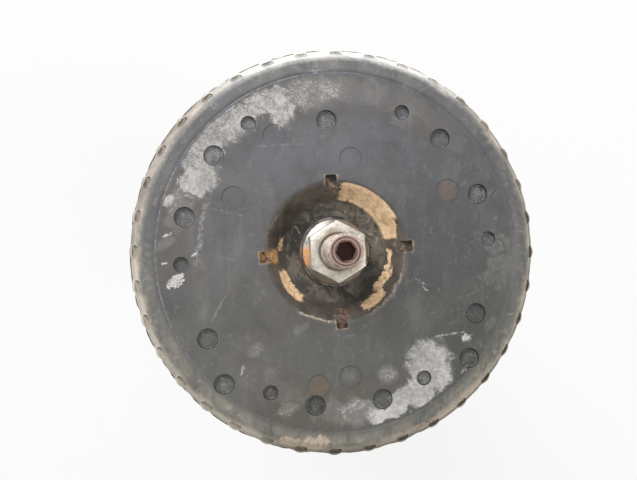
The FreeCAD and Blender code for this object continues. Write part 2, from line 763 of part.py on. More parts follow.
def rebound_stop():
    outer = INNER_TUBE_BORE - 0.8
    return turned([
        (ROD_RADIUS, rebound_stop_bottom),
        (outer - 1.5, rebound_stop_bottom),
        (outer, rebound_stop_bottom + 1.5),
        (outer, rebound_stop_top),
        (ROD_RADIUS, rebound_stop_top),
    ])


def rebound_cushion():
    outer = INNER_TUBE_BORE - 0.8
    half = REBOUND_CUSHION_HEIGHT / 2
    return turned([
        (ROD_RADIUS, rebound_stop_top),
        (outer - 1, rebound_stop_top),
        (outer, rebound_stop_top + half),
        (outer - 1, cushion_top),
        (ROD_RADIUS, cushion_top),
    ])


def piston():
    """Sintered, with a waist for its band and slanting ports, alternately for each way of flow."""
    outer = INNER_TUBE_BORE - 0.6
    groove = INNER_TUBE_BORE - RUNNING_GAP - PISTON_BAND_WALL
    band_bottom = (piston_top + piston_bottom - PISTON_BAND_HEIGHT) / 2
    band_top = band_bottom + PISTON_BAND_HEIGHT
    body = turned([
        (TAIL_RADIUS, piston_bottom),
        (outer, piston_bottom),
        (outer, band_bottom),
        (groove, band_bottom),
        (groove, band_top),
        (outer, band_top),
        (outer, piston_top),
        (TAIL_RADIUS, piston_top),
    ])
    port = disc(PISTON_PORT_RADIUS, piston_bottom, PISTON_HEIGHT, PISTON_PORT_CIRCLE, 0)
    return body.cut(around(port, PISTON_PORTS))


def piston_band():
    outer = INNER_TUBE_BORE - RUNNING_GAP
    middle = (piston_top + piston_bottom) / 2
    half = PISTON_BAND_HEIGHT / 2
    return ring(outer - PISTON_BAND_WALL, outer, middle - half, middle + half)


def shim_stack(seat, away, radii, bore):
    """Thin discs, each smaller than the last, stacked from `seat` in the direction `away`."""
    shims = []
    for i, radius in enumerate(radii):
        near = seat + away * SHIM_THICKNESS * i
        far = near + away * SHIM_THICKNESS
        shims.append(ring(bore, radius, min(near, far), max(near, far)))
    return Part.makeCompound(shims)


def compression_shims():
    return shim_stack(piston_top, 1, SHIM_RADII, TAIL_RADIUS)


def rebound_shims():
    return shim_stack(piston_bottom, -1, SHIM_RADII, TAIL_RADIUS)


def shim_backing_washers():
    upper = ring(TAIL_RADIUS, BACKING_WASHER_RADIUS, upper_shims_top, tail_top)
    lower = ring(TAIL_RADIUS, BACKING_WASHER_RADIUS, piston_nut_top, lower_shims_bottom)
    return Part.makeCompound([upper, lower])


def piston_nut():
    body = hexagon(PISTON_NUT_ACROSS_FLATS, piston_nut_bottom, PISTON_NUT_HEIGHT)
    return body.cut(disc(TAIL_RADIUS, piston_nut_bottom, PISTON_NUT_HEIGHT))


def foot_valve_body():
    """Sits on the bottom of the tube on its ring of legs and carries the inner tube."""
    outer = inner_tube_radius + 1.0
    body = turned([
        (FOOT_BORE, foot_flange_bottom),
        (outer, foot_flange_bottom),
        (outer, foot_flange_top),
        (INNER_TUBE_BORE, foot_flange_top),
        (INNER_TUBE_BORE, foot_top - 1),
        (INNER_TUBE_BORE - 1, foot_top),
        (FOOT_BORE, foot_top),
    ])
    legs = ring(outer - 4, outer, base_cup_floor, foot_flange_bottom)
    slot = block(0, outer + 1, -3, 3, base_cup_floor, foot_flange_bottom - 1)
    legs = legs.cut(around(slot, 4))
    port = disc(PISTON_PORT_RADIUS, foot_flange_bottom, foot_top - foot_flange_bottom, FOOT_PORT_CIRCLE, 0)
    return body.fuse(legs).cut(around(port, FOOT_PORTS))


def foot_valve_shims():
    upper = shim_stack(foot_top, 1, FOOT_SHIM_RADII, FOOT_BORE)
    lower = shim_stack(foot_flange_bottom, -1, FOOT_SHIM_RADII, FOOT_BORE)
    return Part.makeCompound(upper.Solids + lower.Solids)


def foot_valve_rivet():
    stack = SHIM_THICKNESS * len(FOOT_SHIM_RADII)
    head = FOOT_BORE + 2
    return turned([
        (0, foot_flange_bottom - stack - 2),
        (head, foot_flange_bottom - stack - 2),
        (head, foot_flange_bottom - stack),
        (FOOT_BORE, foot_flange_bottom - stack),
        (FOOT_BORE, foot_top + stack),
        (head, foot_top + stack),
        (head - 1, foot_top + stack + 2),
        (0, foot_top + stack + 2),
    ])


def base_cup():
    """Pressed bottom of the tube: a thick disc with its wall turned up inside the tube."""
    wall = tube_bore - BASE_CUP_THICKNESS
    return turned([
        (0, tube_bottom),
        (tube_bore, tube_bottom),
        (tube_bore, tube_bottom + BASE_CUP_DEPTH),
        (wall, tube_bottom + BASE_CUP_DEPTH),
        (wall, base_cup_floor),
        (0, base_cup_floor),
    ])


# What is welded to the tube

def lower_spring_seat():
    collar_bottom = lower_flange_under - LOWER_SEAT_DISH
    path = [
        (TUBE_RADIUS, collar_bottom + LOWER_SEAT_COLLAR),
        (TUBE_RADIUS, collar_bottom),
        (TUBE_RADIUS + 8, collar_bottom),
        (isolator_inner - LOWER_SEAT_BEND, lower_flange_under),
        (seat_radius, lower_flange_under),
        (seat_radius, lower_flange_under + LOWER_SEAT_LIP),
    ]
    body = turned(pressing(path[::-1], SEAT_THICKNESS))
    hole = disc(DRAIN_RADIUS, collar_bottom - 1, LOWER_SEAT_DISH + SEAT_THICKNESS + 2, DRAIN_CIRCLE, 0)
    return body.cut(around(hole, DRAIN_HOLES, DRAIN_TURN))


def knuckle_bracket():
    """A clamp of bent plate round the tube, with two ears that take the knuckle between them."""
    outer = TUBE_RADIUS + KNUCKLE_PLATE
    inner = KNUCKLE_GAP / 2
    height = KNUCKLE_HEIGHT
    wrap = ring(TUBE_RADIUS, outer, knuckle_bottom, knuckle_top)
    mouth = block(-inner, inner, 0, outer + 1, knuckle_bottom, knuckle_top)
    root = math.sqrt(TUBE_RADIUS**2 - inner**2) - 1
    ears = []
    for side in (-1, 1):
        near = inner * side
        far = near + KNUCKLE_PLATE * side
        ears.append(block(min(near, far), max(near, far), root, KNUCKLE_REACH, knuckle_bottom, knuckle_top))
    body = wrap.cut(mouth).fuse(ears)
    body = body.cut(disc(TUBE_RADIUS, knuckle_bottom, height))
    width = 2 * (inner + KNUCKLE_PLATE) + 2
    for z, sign in ((knuckle_bottom, 1), (knuckle_top, -1)):
        corner = FreeCAD.Vector(-width / 2, KNUCKLE_REACH - KNUCKLE_CORNER, min(z, z + sign * KNUCKLE_CORNER))
        square = Part.makeBox(width, KNUCKLE_CORNER, KNUCKLE_CORNER, corner)
        middle = FreeCAD.Vector(-width / 2, KNUCKLE_REACH - KNUCKLE_CORNER, z + sign * KNUCKLE_CORNER)
        rounding = Part.makeCylinder(KNUCKLE_CORNER, width, middle, FreeCAD.Vector(1, 0, 0))
        body = body.cut(square.cut(rounding))
    waist_middle = KNUCKLE_REACH + KNUCKLE_WAIST_RADIUS - KNUCKLE_WAIST_DEPTH
    start = FreeCAD.Vector(-width / 2, waist_middle, knuckle_middle)
    body = body.cut(Part.makeCylinder(KNUCKLE_WAIST_RADIUS, width, start, FreeCAD.Vector(1, 0, 0)))
    for sign in (-1, 1):
        z = knuckle_middle + sign * KNUCKLE_BOLT_SPACING / 2
        start = FreeCAD.Vector(-width / 2, KNUCKLE_BOLT_REACH, z)
        body = body.cut(Part.makeCylinder(KNUCKLE_BOLT_RADIUS, width, start, FreeCAD.Vector(1, 0, 0)))
    return body.removeSplitter()


def saddle(plate, angle, bottom, top):
    """A strip of plate curved round the tube, centred on +X."""
    outer = TUBE_RADIUS + plate
    whole = ring(TUBE_RADIUS, outer, bottom, top)
    half = math.radians(angle / 2)
    far = outer * 2
    wedge = [
        FreeCAD.Vector(0, 0, bottom),
        FreeCAD.Vector(far, -far * math.tan(half), bottom),
        FreeCAD.Vector(far, far * math.tan(half), bottom),
    ]
    return whole.common(Part.Face(Part.makePolygon(wedge + wedge[:1])).extrude(AXIS * (top - bottom)))


def flat_tab(plate, width, reach, hole, z):
    """A level tab with a rounded end and a hole, pointing along +X from the tube."""
    tab = block(TUBE_RADIUS - 0.5, reach, -width / 2, width / 2, z, z + plate)
    tab = tab.fuse(disc(width / 2, z, plate, reach, 0))
    return tab.cut([disc(hole, z, plate, reach, 0), disc(TUBE_RADIUS, z, plate)])


def stabiliser_bracket():
    bottom = knuckle_top + LINK_ABOVE_KNUCKLE
    back = saddle(LINK_PLATE, LINK_SADDLE_ANGLE, bottom - LINK_TAB_WIDTH / 2, bottom + LINK_TAB_WIDTH / 2)
    tab = flat_tab(LINK_PLATE, LINK_TAB_WIDTH, LINK_HOLE_REACH, LINK_HOLE_RADIUS, bottom - LINK_PLATE / 2)
    return spun(back.fuse(tab).removeSplitter(), LINK_DIRECTION)


def hose_bracket():
    bottom = knuckle_top + HOSE_ABOVE_KNUCKLE
    back = saddle(HOSE_PLATE, HOSE_SADDLE_ANGLE, bottom - HOSE_TAB_WIDTH / 2, bottom + HOSE_TAB_WIDTH / 2)
    tab = flat_tab(HOSE_PLATE, HOSE_TAB_WIDTH, HOSE_HOLE_REACH, HOSE_HOLE_RADIUS, bottom - HOSE_PLATE / 2)
    return spun(back.fuse(tab).removeSplitter(), HOSE_DIRECTION)


PIECES = (
    mount_rubber, mount_insert, mount_core, rod_nut, stop_washer, support_washer, piston_rod,
    bearing_upper_race, bearing_balls, ball_cage, bearing_lower_race,
    upper_spring_seat, upper_isolator, coil_spring, dust_boot, bump_stop,
    rebound_stop, rebound_cushion, piston, piston_band, compression_shims, rebound_shims,
    shim_backing_washers, piston_nut,
    outer_tube, base_cup, inner_tube, rod_guide, rod_bush, oil_seal, seal_spring, tube_cap,
    foot_valve_body, foot_valve_shims, foot_valve_rivet,
    lower_spring_seat, lower_isolator, knuckle_bracket, stabiliser_bracket, hose_bracket,
)

os.makedirs("parts", exist_ok=True)
for piece in PIECES:
    shape = piece()
    name = piece.__name__
    shape.exportStep(f"parts/{name}.step")
    print(name, "solids", len(shape.Solids), "valid", shape.isValid(), "mm3", round(shape.Volume))
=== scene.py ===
import json
import math

import bmesh
import bpy
from mathutils import Matrix, Vector, noise


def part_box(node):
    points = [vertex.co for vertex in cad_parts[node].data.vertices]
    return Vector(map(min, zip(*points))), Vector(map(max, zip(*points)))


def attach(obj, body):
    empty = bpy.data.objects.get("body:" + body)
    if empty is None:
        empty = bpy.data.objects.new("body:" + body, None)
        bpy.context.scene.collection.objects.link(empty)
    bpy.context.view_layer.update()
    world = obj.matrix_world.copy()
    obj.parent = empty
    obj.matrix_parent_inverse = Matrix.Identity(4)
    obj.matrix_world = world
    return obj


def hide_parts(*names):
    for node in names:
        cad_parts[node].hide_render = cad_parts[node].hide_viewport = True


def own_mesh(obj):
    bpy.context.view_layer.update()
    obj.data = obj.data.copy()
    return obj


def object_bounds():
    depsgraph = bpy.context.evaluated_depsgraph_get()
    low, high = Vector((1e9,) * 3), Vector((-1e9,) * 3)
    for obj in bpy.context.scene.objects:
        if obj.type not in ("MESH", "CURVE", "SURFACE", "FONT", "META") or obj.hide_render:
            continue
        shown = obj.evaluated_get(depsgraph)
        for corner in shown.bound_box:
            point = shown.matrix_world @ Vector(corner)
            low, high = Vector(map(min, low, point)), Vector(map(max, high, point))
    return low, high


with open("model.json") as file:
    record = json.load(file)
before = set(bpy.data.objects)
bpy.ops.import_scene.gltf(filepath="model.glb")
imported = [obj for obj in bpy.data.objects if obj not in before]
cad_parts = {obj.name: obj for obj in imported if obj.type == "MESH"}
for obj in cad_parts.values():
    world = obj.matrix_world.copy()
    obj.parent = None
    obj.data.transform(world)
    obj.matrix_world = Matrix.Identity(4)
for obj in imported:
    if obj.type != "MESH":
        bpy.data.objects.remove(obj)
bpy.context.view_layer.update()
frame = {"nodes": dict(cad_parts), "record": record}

MM = 0.001
UP = Vector((0, 0, 1))

# Camera: the photo looks down the rod's axis from a little to the left and below
PHOTO_WIDTH = 637
FOCAL_PIXELS = 988.0
PHOTO_MIDDLE = (318.5, 240.0)
NUT_PIXEL = (338.3, 251.5)
CAMERA_DISTANCE = 397 * MM
CAMERA_LEAN = math.radians(5.17)
CAMERA_DIP = math.radians(0.76)
SENSOR = 36.0

# Heights and radii of the strut, in its own frame
NUT_TOP = 6 * MM
NUT_BASE = -6 * MM
ROD_END = 33 * MM
ROD_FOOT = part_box("piston_rod")[0][2]
ROD_RADIUS = 11 * MM
SHOULDER = -40 * MM
TAIL_RADIUS = 5 * MM
TAIL_TOP = -313.4 * MM
STUD_RADIUS = 7 * MM
STUD_NECK = 6.9 * MM
STUD_END = 6.15 * MM
STUD_CHAMFER = 2.2 * MM
SOCKET_ACROSS = 7 * MM
SOCKET_DEPTH = 8 * MM
SOCKET_TURN = 10.0
THREAD_PITCH = 1.5 * MM
THREAD_DEPTH = 0.85 * MM
FACE_EDGE = 73.5  # mm, as in the finishes
MOUNT_SHOULDER = 79.8 * MM
MOUNT_RADIUS = 84.4 * MM
LOBE_RADIUS = 4.6 * MM
LOBE_RISE = 0.9 * MM
LOBE_TOP = -1 * MM
POCKETS = 36
NOTCH_TURN = 4.5


def srgb(red, green, blue):
    """A colour as a picture shows it, 0 to 255, as the renderer's linear values."""
    return tuple(
        (c / 255 / 12.92 if c / 255 <= 0.04045 else ((c / 255 + 0.055) / 1.055) ** 2.4)
        for c in (red, green, blue)
    ) + (1.0,)


def polar(radius, degrees):
    """The point at a distance from the axis, in a direction counted from +X."""
    return radius * math.cos(math.radians(degrees)), radius * math.sin(math.radians(degrees))


# Materials

class Value:
    """A socket of a finish. Arithmetic on it adds Math nodes."""

    def __init__(self, finish, socket):
        self.finish = finish
        self.socket = socket

    def __add__(self, other):
        return self.finish.maths("ADD", self, other)

    def __sub__(self, other):
        return self.finish.maths("SUBTRACT", self, other)

    def __mul__(self, other):
        return self.finish.maths("MULTIPLY", self, other)

    def __rsub__(self, other):
        return self.finish.maths("SUBTRACT", other, self)

    __radd__ = __add__
    __rmul__ = __mul__


class Finish:
    """A material under construction: a principled shader and the nodes that feed it. Lengths are in mm."""

    def __init__(self, name):
        self.material = bpy.data.materials.new(name)
        self.material.use_nodes = True
        self.tree = self.material.node_tree
        self.tree.nodes.clear()
        self.shader = self.tree.nodes.new("ShaderNodeBsdfPrincipled")
        self.surface = self.tree.nodes.new("ShaderNodeOutputMaterial").inputs[0]
        self.tree.links.new(self.shader.outputs[0], self.surface)
        self.place = self.node("ShaderNodeTexCoord", output="Object")
        self.level = self.vector("MULTIPLY", self.place, (1, 1, 0))
        self.reach = self.vector("LENGTH", self.level, output="Value")
        self.height = self.part(self.place, "Z")
        self.base = None

    def node(self, kind, settings=None, inputs=None, output=0):
        made = self.tree.nodes.new(kind)
        for key, value in (settings or {}).items():
            setattr(made, key, value)
        for key, value in (inputs or {}).items():
            self.feed(made.inputs[key], value)
        return Value(self, made.outputs[output])

    def feed(self, socket, value):
        if isinstance(value, Value):
            self.tree.links.new(value.socket, socket)
        else:
            socket.default_value = value

    def maths(self, operation, *values):
        return self.node("ShaderNodeMath", {"operation": operation}, dict(enumerate(values)))

    def vector(self, operation, *values, output=0):
        return self.node("ShaderNodeVectorMath", {"operation": operation}, dict(enumerate(values)), output)

    def most(self, values):
        """The largest of several values at each point."""
        top = None
        for value in values:
            top = self.maths("MAXIMUM", top, value) if top else value
        return top

    def set(self, **sockets):
        for name, value in sockets.items():
            self.feed(self.shader.inputs[name.replace("_", " ")], value)

    def noise(self, size, detail=4.0, rough=0.6, shift=0.0, warp=0.0, stretch=(1, 1, 1), output="Fac"):
        """Fractal noise, 0 to 1, whose largest features are about `size` mm."""
        placed = self.node("ShaderNodeMapping", None, {
            "Vector": self.place, "Location": (shift, shift * 1.7, -shift), "Scale": stretch,
        })
        return self.node("ShaderNodeTexNoise", {"noise_dimensions": "3D"}, {
            "Vector": placed, "Scale": 1 / (size * MM), "Detail": detail, "Roughness": rough, "Distortion": warp,
        }, output)

    def strayed(self, size, amount, shift):
        """The place on the face moved about by noise, so that a patch drawn on it gets a torn outline."""
        tossed = self.vector("SUBTRACT", self.noise(size, 5, 0.65, shift, 0.9, output="Color"), (0.5, 0.5, 0.5))
        return self.vector("MULTIPLY_ADD", tossed, (amount * MM, amount * MM, 0), self.level)

    def part(self, vector, axis):
        return self.node("ShaderNodeSeparateXYZ", None, {0: vector}, axis)

    def step(self, value, low, high, start=0.0, end=1.0):
        """A smooth step from `start` to `end` as `value` goes from `low` to `high`."""
        return self.node("ShaderNodeMapRange", {"interpolation_type": "SMOOTHSTEP"}, {
            "Value": value, "From Min": low, "From Max": high, "To Min": start, "To Max": end,
        })

    def ramp(self, value, low, high):
        """A smooth step of a length, between two given in mm."""
        return self.step(value, low * MM, high * MM)

    def between(self, value, low, high, soft):
        """One where a length lies between two given in mm, and zero outside."""
        low, high, soft = low * MM, high * MM, soft * MM
        return self.step(value, low - soft, low + soft) * self.step(value, high - soft, high + soft, 1.0, 0.0)

    def mix(self, factor, under, over):
        """From one colour to another. Each is a Value, or 0 to 255 as a picture shows it."""
        under, over = (c if isinstance(c, Value) else srgb(*c) for c in (under, over))
        return self.node("ShaderNodeMix", {"data_type": "RGBA"}, {0: factor, 6: under, 7: over}, 2)

    def lay(self, mask, colour):
        """Lays a colour over those before it, as thickly as `mask` says."""
        self.base = self.mix(mask, self.base, colour)

    def bump(self, height, distance, strength):
        return self.node("ShaderNodeBump", None, {
            "Height": height, "Distance": distance * MM, "Strength": strength,
        }, "Normal")

    def sector(self, middle, half, soft):
        """One inside an angular window about the axis, in degrees from +X, and zero outside."""
        way = self.vector("NORMALIZE", self.level)
        towards = (*polar(1, middle), 0)
        low = math.cos(math.radians(min(half + soft, 179)))
        high = math.cos(math.radians(max(half - soft, 0)))
        return self.step(self.vector("DOT_PRODUCT", way, towards, output="Value"), low, high)

    def blot(self, radius, degrees, length, width, turn, soft, on=None):
        """An elliptical patch on the face: 1 at its middle, 0.5 on its outline, 0 well outside."""
        if width > length:
            length, width, turn = width, length, turn + 90
        x, y = polar(radius * MM, degrees)
        focus = math.sqrt(length ** 2 - width ** 2)
        along, aside = polar(focus * MM, turn)
        near = self.vector("DISTANCE", on or self.level, (x + along, y + aside, 0), output="Value")
        far = self.vector("DISTANCE", on or self.level, (x - along, y - aside, 0), output="Value")
        edge = soft * (1 - focus / length)
        return self.step(near + far, 2 * length * MM * (1 + edge), 2 * length * MM * (1 - edge))


def rust_over(finish, rough, mask):
    """Lays rust where `mask` is one, and gives the roughness that goes with it."""
    finish.lay(mask, finish.mix(finish.noise(1.5, shift=3), (88, 48, 30), (150, 86, 48)))
    return rough + mask * (0.85 - rough)


def painted_steel(name, colour, dust, rust):
    """Black paint with a film of dust, chips and a little rust showing through."""
    finish = Finish(name)
    cloud = finish.noise(30, 5, 0.6, 1)
    fine = finish.noise(2.2, 6, 0.7, 2)
    finish.base = finish.mix(cloud, colour, [c + 14 for c in colour])
    dusty = finish.step(cloud * 0.6 + fine * 0.5, 0.48, 0.78) * dust
    finish.lay(dusty, (140, 128, 112))
    spots = finish.noise(9, 8, 0.72, 5)
    mask = finish.step(spots, 0.72 - rust * 0.14, 0.78 - rust * 0.12)
    rough = rust_over(finish, 0.42 + fine * 0.18 + dusty * 0.4, mask)
    orange_peel = finish.noise(1.2, 2, 0.5, 7)
    finish.set(
        Base_Color=finish.base,
        Roughness=rough,
        Normal=finish.bump(orange_peel * 0.25 - mask * 0.8 + fine * 0.2, 0.15, 0.7),
    )
    return finish.material


def plain_metal(name, colour, rough=0.32, grime=0.3):
    """Bare metal, oiled and a little stained, with fine turning marks round the axis."""
    finish = Finish(name)
    marks = finish.noise(3, 3, 0.6, 4, stretch=(0.2, 0.2, 9))
    stain = finish.step(finish.noise(14, 6, 0.65, 2), 0.5, 0.75) * grime
    finish.base = finish.mix(stain, colour, (92, 78, 60))
    finish.set(
        Base_Color=finish.base,
        Metallic=1.0 - stain * 0.6,
        Roughness=rough + marks * 0.14 + stain * 0.35,
        Normal=finish.bump(marks, 0.03, 0.5),
    )
    return finish.material


def plain_moulding(name, colour, rough, dust, grain=0.9):
    """A moulded plastic or rubber piece with a fine grain and patches of dust."""
    finish = Finish(name)
    cloud = finish.noise(22, 5, 0.6, 3)
    fine = finish.noise(grain, 4, 0.6, 6)
    dusty = finish.step(cloud * 0.7 + fine * 0.4, 0.5, 0.8) * dust
    finish.base = finish.mix(cloud, colour, [c * 1.25 for c in colour])
    finish.lay(dusty, (142, 132, 118))
    finish.set(
        Base_Color=finish.base,
        Roughness=rough + dusty * 0.3 + fine * 0.1,
        Normal=finish.bump(fine, 0.12, 0.5),
    )
    return finish.material


# Dried salts on the rubber face. Each patch: radius mm, angle, half length and half width mm,
# the turn of its length, and how densely it covers, where 1 is a whole crust
SALTS = (
    (62.7, 152.0, 9.5, 7.0, 35.0, 1.15),
    (67.5, 142.0, 13.0, 6.0, 54.0, 0.86),
    (66.5, 128.0, 13.0, 7.5, 40.0, 0.82),
    (62.4, 112.0, 6.5, 8.0, 20.0, 0.95),
    (68.0, 117.0, 12.0, 5.5, 27.0, 0.84),
    (66.0, 100.0, 14.0, 8.0, 8.0, 0.62),
    (66.5, 84.0, 15.0, 7.0, -5.0, 0.50),
    (66.5, 66.0, 13.0, 6.5, -24.0, 0.40),
    (62.0, 64.0, 7.0, 4.5, 60.0, 0.48),
    (66.0, 48.0, 12.0, 5.0, -42.0, 0.36),
    (71.3, 163.5, 3.2, 2.3, 30.0, 0.9),
    (66.5, 166.0, 9.0, 5.5, 80.0, 0.55),
    (69.8, 177.6, 5.5, 2.6, 30.0, 0.55),
    (62.0, 174.0, 12.0, 7.0, 80.0, 0.32),
    (61.0, 309.5, 11.0, 8.6, -54.0, 1.25),
    (66.5, 299.0, 11.5, 5.6, 27.0, 1.15),
    (69.6, 288.0, 9.5, 3.4, 17.0, 0.95),
    (66.0, 278.5, 9.5, 6.5, 8.0, 0.64),
    (65.0, 268.0, 9.0, 6.5, -2.0, 0.46),
    (54.6, 292.8, 4.6, 4.0, 0.0, 0.56),
    (51.0, 276.0, 3.4, 3.2, 0.0, 0.42),
    (60.0, 244.0, 16.0, 8.0, -25.0, 0.36),
    (50.0, 232.0, 12.0, 9.0, -45.0, 0.26),
    (60.0, 18.0, 20.0, 9.0, -70.0, 0.26),
    (42.0, 286.0, 14.0, 8.0, 0.0, 0.22),
    (57.0, 200.0, 13.0, 8.0, -60.0, 0.28),
    (64.6, 326.5, 2.0, 1.5, 0.0, 0.95),
    (70.5, 335.0, 4.0, 2.0, 60.0, 0.4),
    (51.9, 230.3, 4.5, 3.5, 40.0, 0.48),
    (61.5, 231.5, 2.2, 0.8, 80.0, 0.8),
    (55.8, 241.8, 4.0, 3.0, 0.0, 0.46),
    (67.0, 252.9, 5.0, 3.0, 20.0, 0.5),
    (34.9, 245.2, 4.0, 2.0, 30.0, 0.42),
)
CUP_DUST = (
    # middle and half of the arc in degrees, inner and outer radius mm, how much of it is covered
    (57, 28, 21.4, 28.9, 1.0), (27, 14, 20.8, 26.8, 1.0), (352, 10, 21.5, 23.7, 0.85), (331, 16, 21.4, 25.0, 0.8),
    (308, 12, 24.0, 27.4, 0.95), (218, 18, 21.6, 25.4, 1.0), (172, 7, 21.6, 23.6, 0.7),
)
RUSTY_PLUGS = ((52.5, 28.9, 0.7), (55.3, 262.4, 1.0))
FLAKES = (
    # radius mm, angle, half length and width mm, turn
    (66.4, 189.8, 4.4, 1.3, 33.0), (67.4, 191.3, 3.2, 0.9, 30.0), (65.0, 191.5, 2.6, 0.8, 40.0),
    (69.6, 184.0, 1.6, 0.5, 20.0), (63.2, 327.0, 1.2, 0.7, 60.0),
    (57.8, 181.2, 1.5, 0.4, 45.0), (69.0, 174.5, 2.4, 0.4, 25.0),
)
SCRATCHES = (
    # radius mm, angle, half length mm, turn, strength
    (57.8, 324.0, 6.5, 8.0, 0.7), (63.6, 327.5, 3.6, 4.0, 0.4), (36.6, 340.5, 3.4, -35.0, 0.6),
    (39.6, 337.5, 2.0, -50.0, 0.6), (53.5, 206.0, 6.5, 62.0, 0.4), (28.5, 138.0, 5.0, 12.0, -0.6),
    (71.8, 317.5, 2.5, 45.0, 0.6), (70.6, 304.0, 2.2, 36.0, 0.5), (45.0, 160.0, 9.0, -12.0, 0.22),
    (40.0, 140.0, 8.0, -8.0, 0.16), (49.0, 118.0, 10.0, 4.0, 0.18), (74.0, 97.0, 5.0, 5.0, 0.6),
)


def mount_rubber_finish():
    """Aged rubber: a wiped middle, dried salts round it, tan dust in the cup and pale dust on the wall, with
    painted light and shade on the face, the wall, the recesses and the pockets.
    """
    f = Finish("aged_mount_rubber")
    r, z = f.reach, f.height
    broad = f.noise(45, 4, 0.55, 1)
    cloud = f.noise(11, 6, 0.65, 4)
    fine = f.noise(1.8, 5, 0.7, 7)
    grit = f.noise(0.6, 3, 0.7, 9)
    smear = f.noise(9, 6, 0.7, 21, stretch=(1, 0.25, 1))
    scuff = f.noise(5, 6, 0.75, 33, 1.5)

    torn = f.strayed(7, 14, 11)
    frayed = f.strayed(2.5, 4, 13)

    def specks(low, high):
        return f.step(scuff * 0.5 + fine * 0.5, low, high)

    # painted light and shade: bluish and paler on the side that faces the window, greenish and darker away from it
    across = f.vector("DOT_PRODUCT", f.level, (0.34, -0.94, 0), output="Value")
    f.base = f.mix(f.ramp(across, -75, 70), (99, 100, 106), (67, 68, 64))
    f.lay(f.sector(215, 60, 40) * 0.3, (104, 98, 91))
    # painted shade: darker still on the right, away from the light
    f.lay(f.sector(22, 40, 30) * 0.28, (66, 66, 65))
    f.lay(f.ramp(r, 37, 29) * 0.3, (66, 61, 56))
    f.lay(f.step(cloud, 0.38, 0.68) * 0.42, (64, 63, 60))
    f.lay(f.step(broad, 0.42, 0.62) * 0.22, (112, 111, 109))
    f.lay(f.step(smear, 0.48, 0.72) * 0.3, (130, 128, 125))
    f.lay(f.step(scuff, 0.54, 0.70) * 0.42, (128, 126, 121))
    f.lay(f.step(fine, 0.60, 0.68) * 0.16, (160, 158, 152))

    on_face = f.ramp(z, -1.3, -0.5)
    inside = f.ramp(r, FACE_EDGE - 0.7, FACE_EDGE - 1.2) * on_face
    ring = f.ramp(r + (broad - 0.5) * (9 * MM), 53, 57) * inside
    brown = ring * f.most([f.sector(172, 16, 8), f.sector(92, 50, 15) * 0.75, f.sector(270, 25, 12) * 0.85])
    f.lay(brown * (0.25 + cloud * 0.6), (90, 83, 75))

    # salts lie as a thin veil, break into specks, and close into a crust where they are thick
    density = f.most(f.blot(*patch[:5], 0.85, torn if patch[2] > 6 else frayed) * patch[5] for patch in SALTS)
    density = density + (broad - 0.5) * 0.3 + (cloud - 0.5) * 0.5
    grain = grit * 0.58 + fine * 0.28 + scuff * 0.14
    veil = f.step(density + (smear - 0.5) * 0.4, 0.15, 1.1) * inside
    cover = f.step(grain + density * 0.34, 0.69, 0.77) * inside
    thick = f.step(density, 0.35, 1.0)
    salt = f.mix(f.step(cloud * 0.5 + fine * 0.5, 0.36, 0.64), (138, 135, 131), (196, 193, 190))
    f.lay(veil * 0.8, (150, 147, 142))
    f.lay(cover * (0.45 + thick * 0.45), salt)

    wandering = f.vector("LENGTH", torn, output="Value")
    tide = f.between(wandering, 55.6, 57.0, 0.7) * f.sector(172, 12, 5)
    # a thin pale line along the face's edge, strongest on the side that faces the light: a painted highlight,
    # broken up like dust
    edge = f.between(r, FACE_EDGE - 0.45, FACE_EDGE + 0.05, 0.2)
    edge = edge * (0.12 + f.sector(148, 62, 20) * 0.88) * f.step(fine * 0.6 + cloud * 0.4, 0.42, 0.6)
    tide = tide * f.step(fine, 0.3, 0.6)
    f.lay(f.most([tide * 0.45, edge * 0.5]) * on_face, (176, 176, 180))

    streaks = f.step(scuff * 0.45 + grit * 0.55, 0.40, 0.50)
    flakes = f.most(f.blot(*patch, 0.5, frayed) for patch in FLAKES) * streaks
    f.lay(flakes * 0.9, (200, 198, 196))
    film = f.most([f.blot(67, 354, 8.5, 5.0, 40, 0.2, torn), f.blot(66, 4.0, 5.0, 4.5, 0, 0.2, torn)])
    f.lay(film * f.step(scuff, 0.4, 0.6) * 0.3, (136, 134, 127))
    for radius, angle, length, turn, strength in SCRATCHES:
        on = f.level if length > 6 else frayed
        mark = f.blot(radius, angle, length, 0.45, turn, 0.6, on) * f.step(fine, 0.42, 0.6) * abs(strength)
        f.lay(mark, (176, 174, 168) if strength > 0 else (48, 45, 42))

    # the recesses: painted shade round the foot of the wall, crusted here and there on the floor
    near = f.between(r, 36, 76, 0.5)
    recess_wall_shade = f.between(z, -1.6, -0.7, 0.12) * near
    f.lay(recess_wall_shade * 0.75, (36, 36, 36))
    floor = f.ramp(z, -1.6, -1.75) * near
    crust = f.step(grain + smear * 0.4 + cloud * 0.2 + thick * 0.1, 0.79, 0.95)
    f.lay(floor * crust * 0.65, (162, 162, 161))
    f.lay(f.blot(62.9, 263.8, 4.6, 4.6, 0, 0.05) * floor * 0.55, (44, 44, 42))
    for radius, angle, much in RUSTY_PLUGS:
        rusty = f.blot(radius, angle, 4.5, 4.3, 0, 0.1) * f.step(scuff + cloud, 0.7, 1.1) * much * 0.75
        f.lay(rusty, f.mix(fine, (84, 70, 60), (126, 104, 84)))

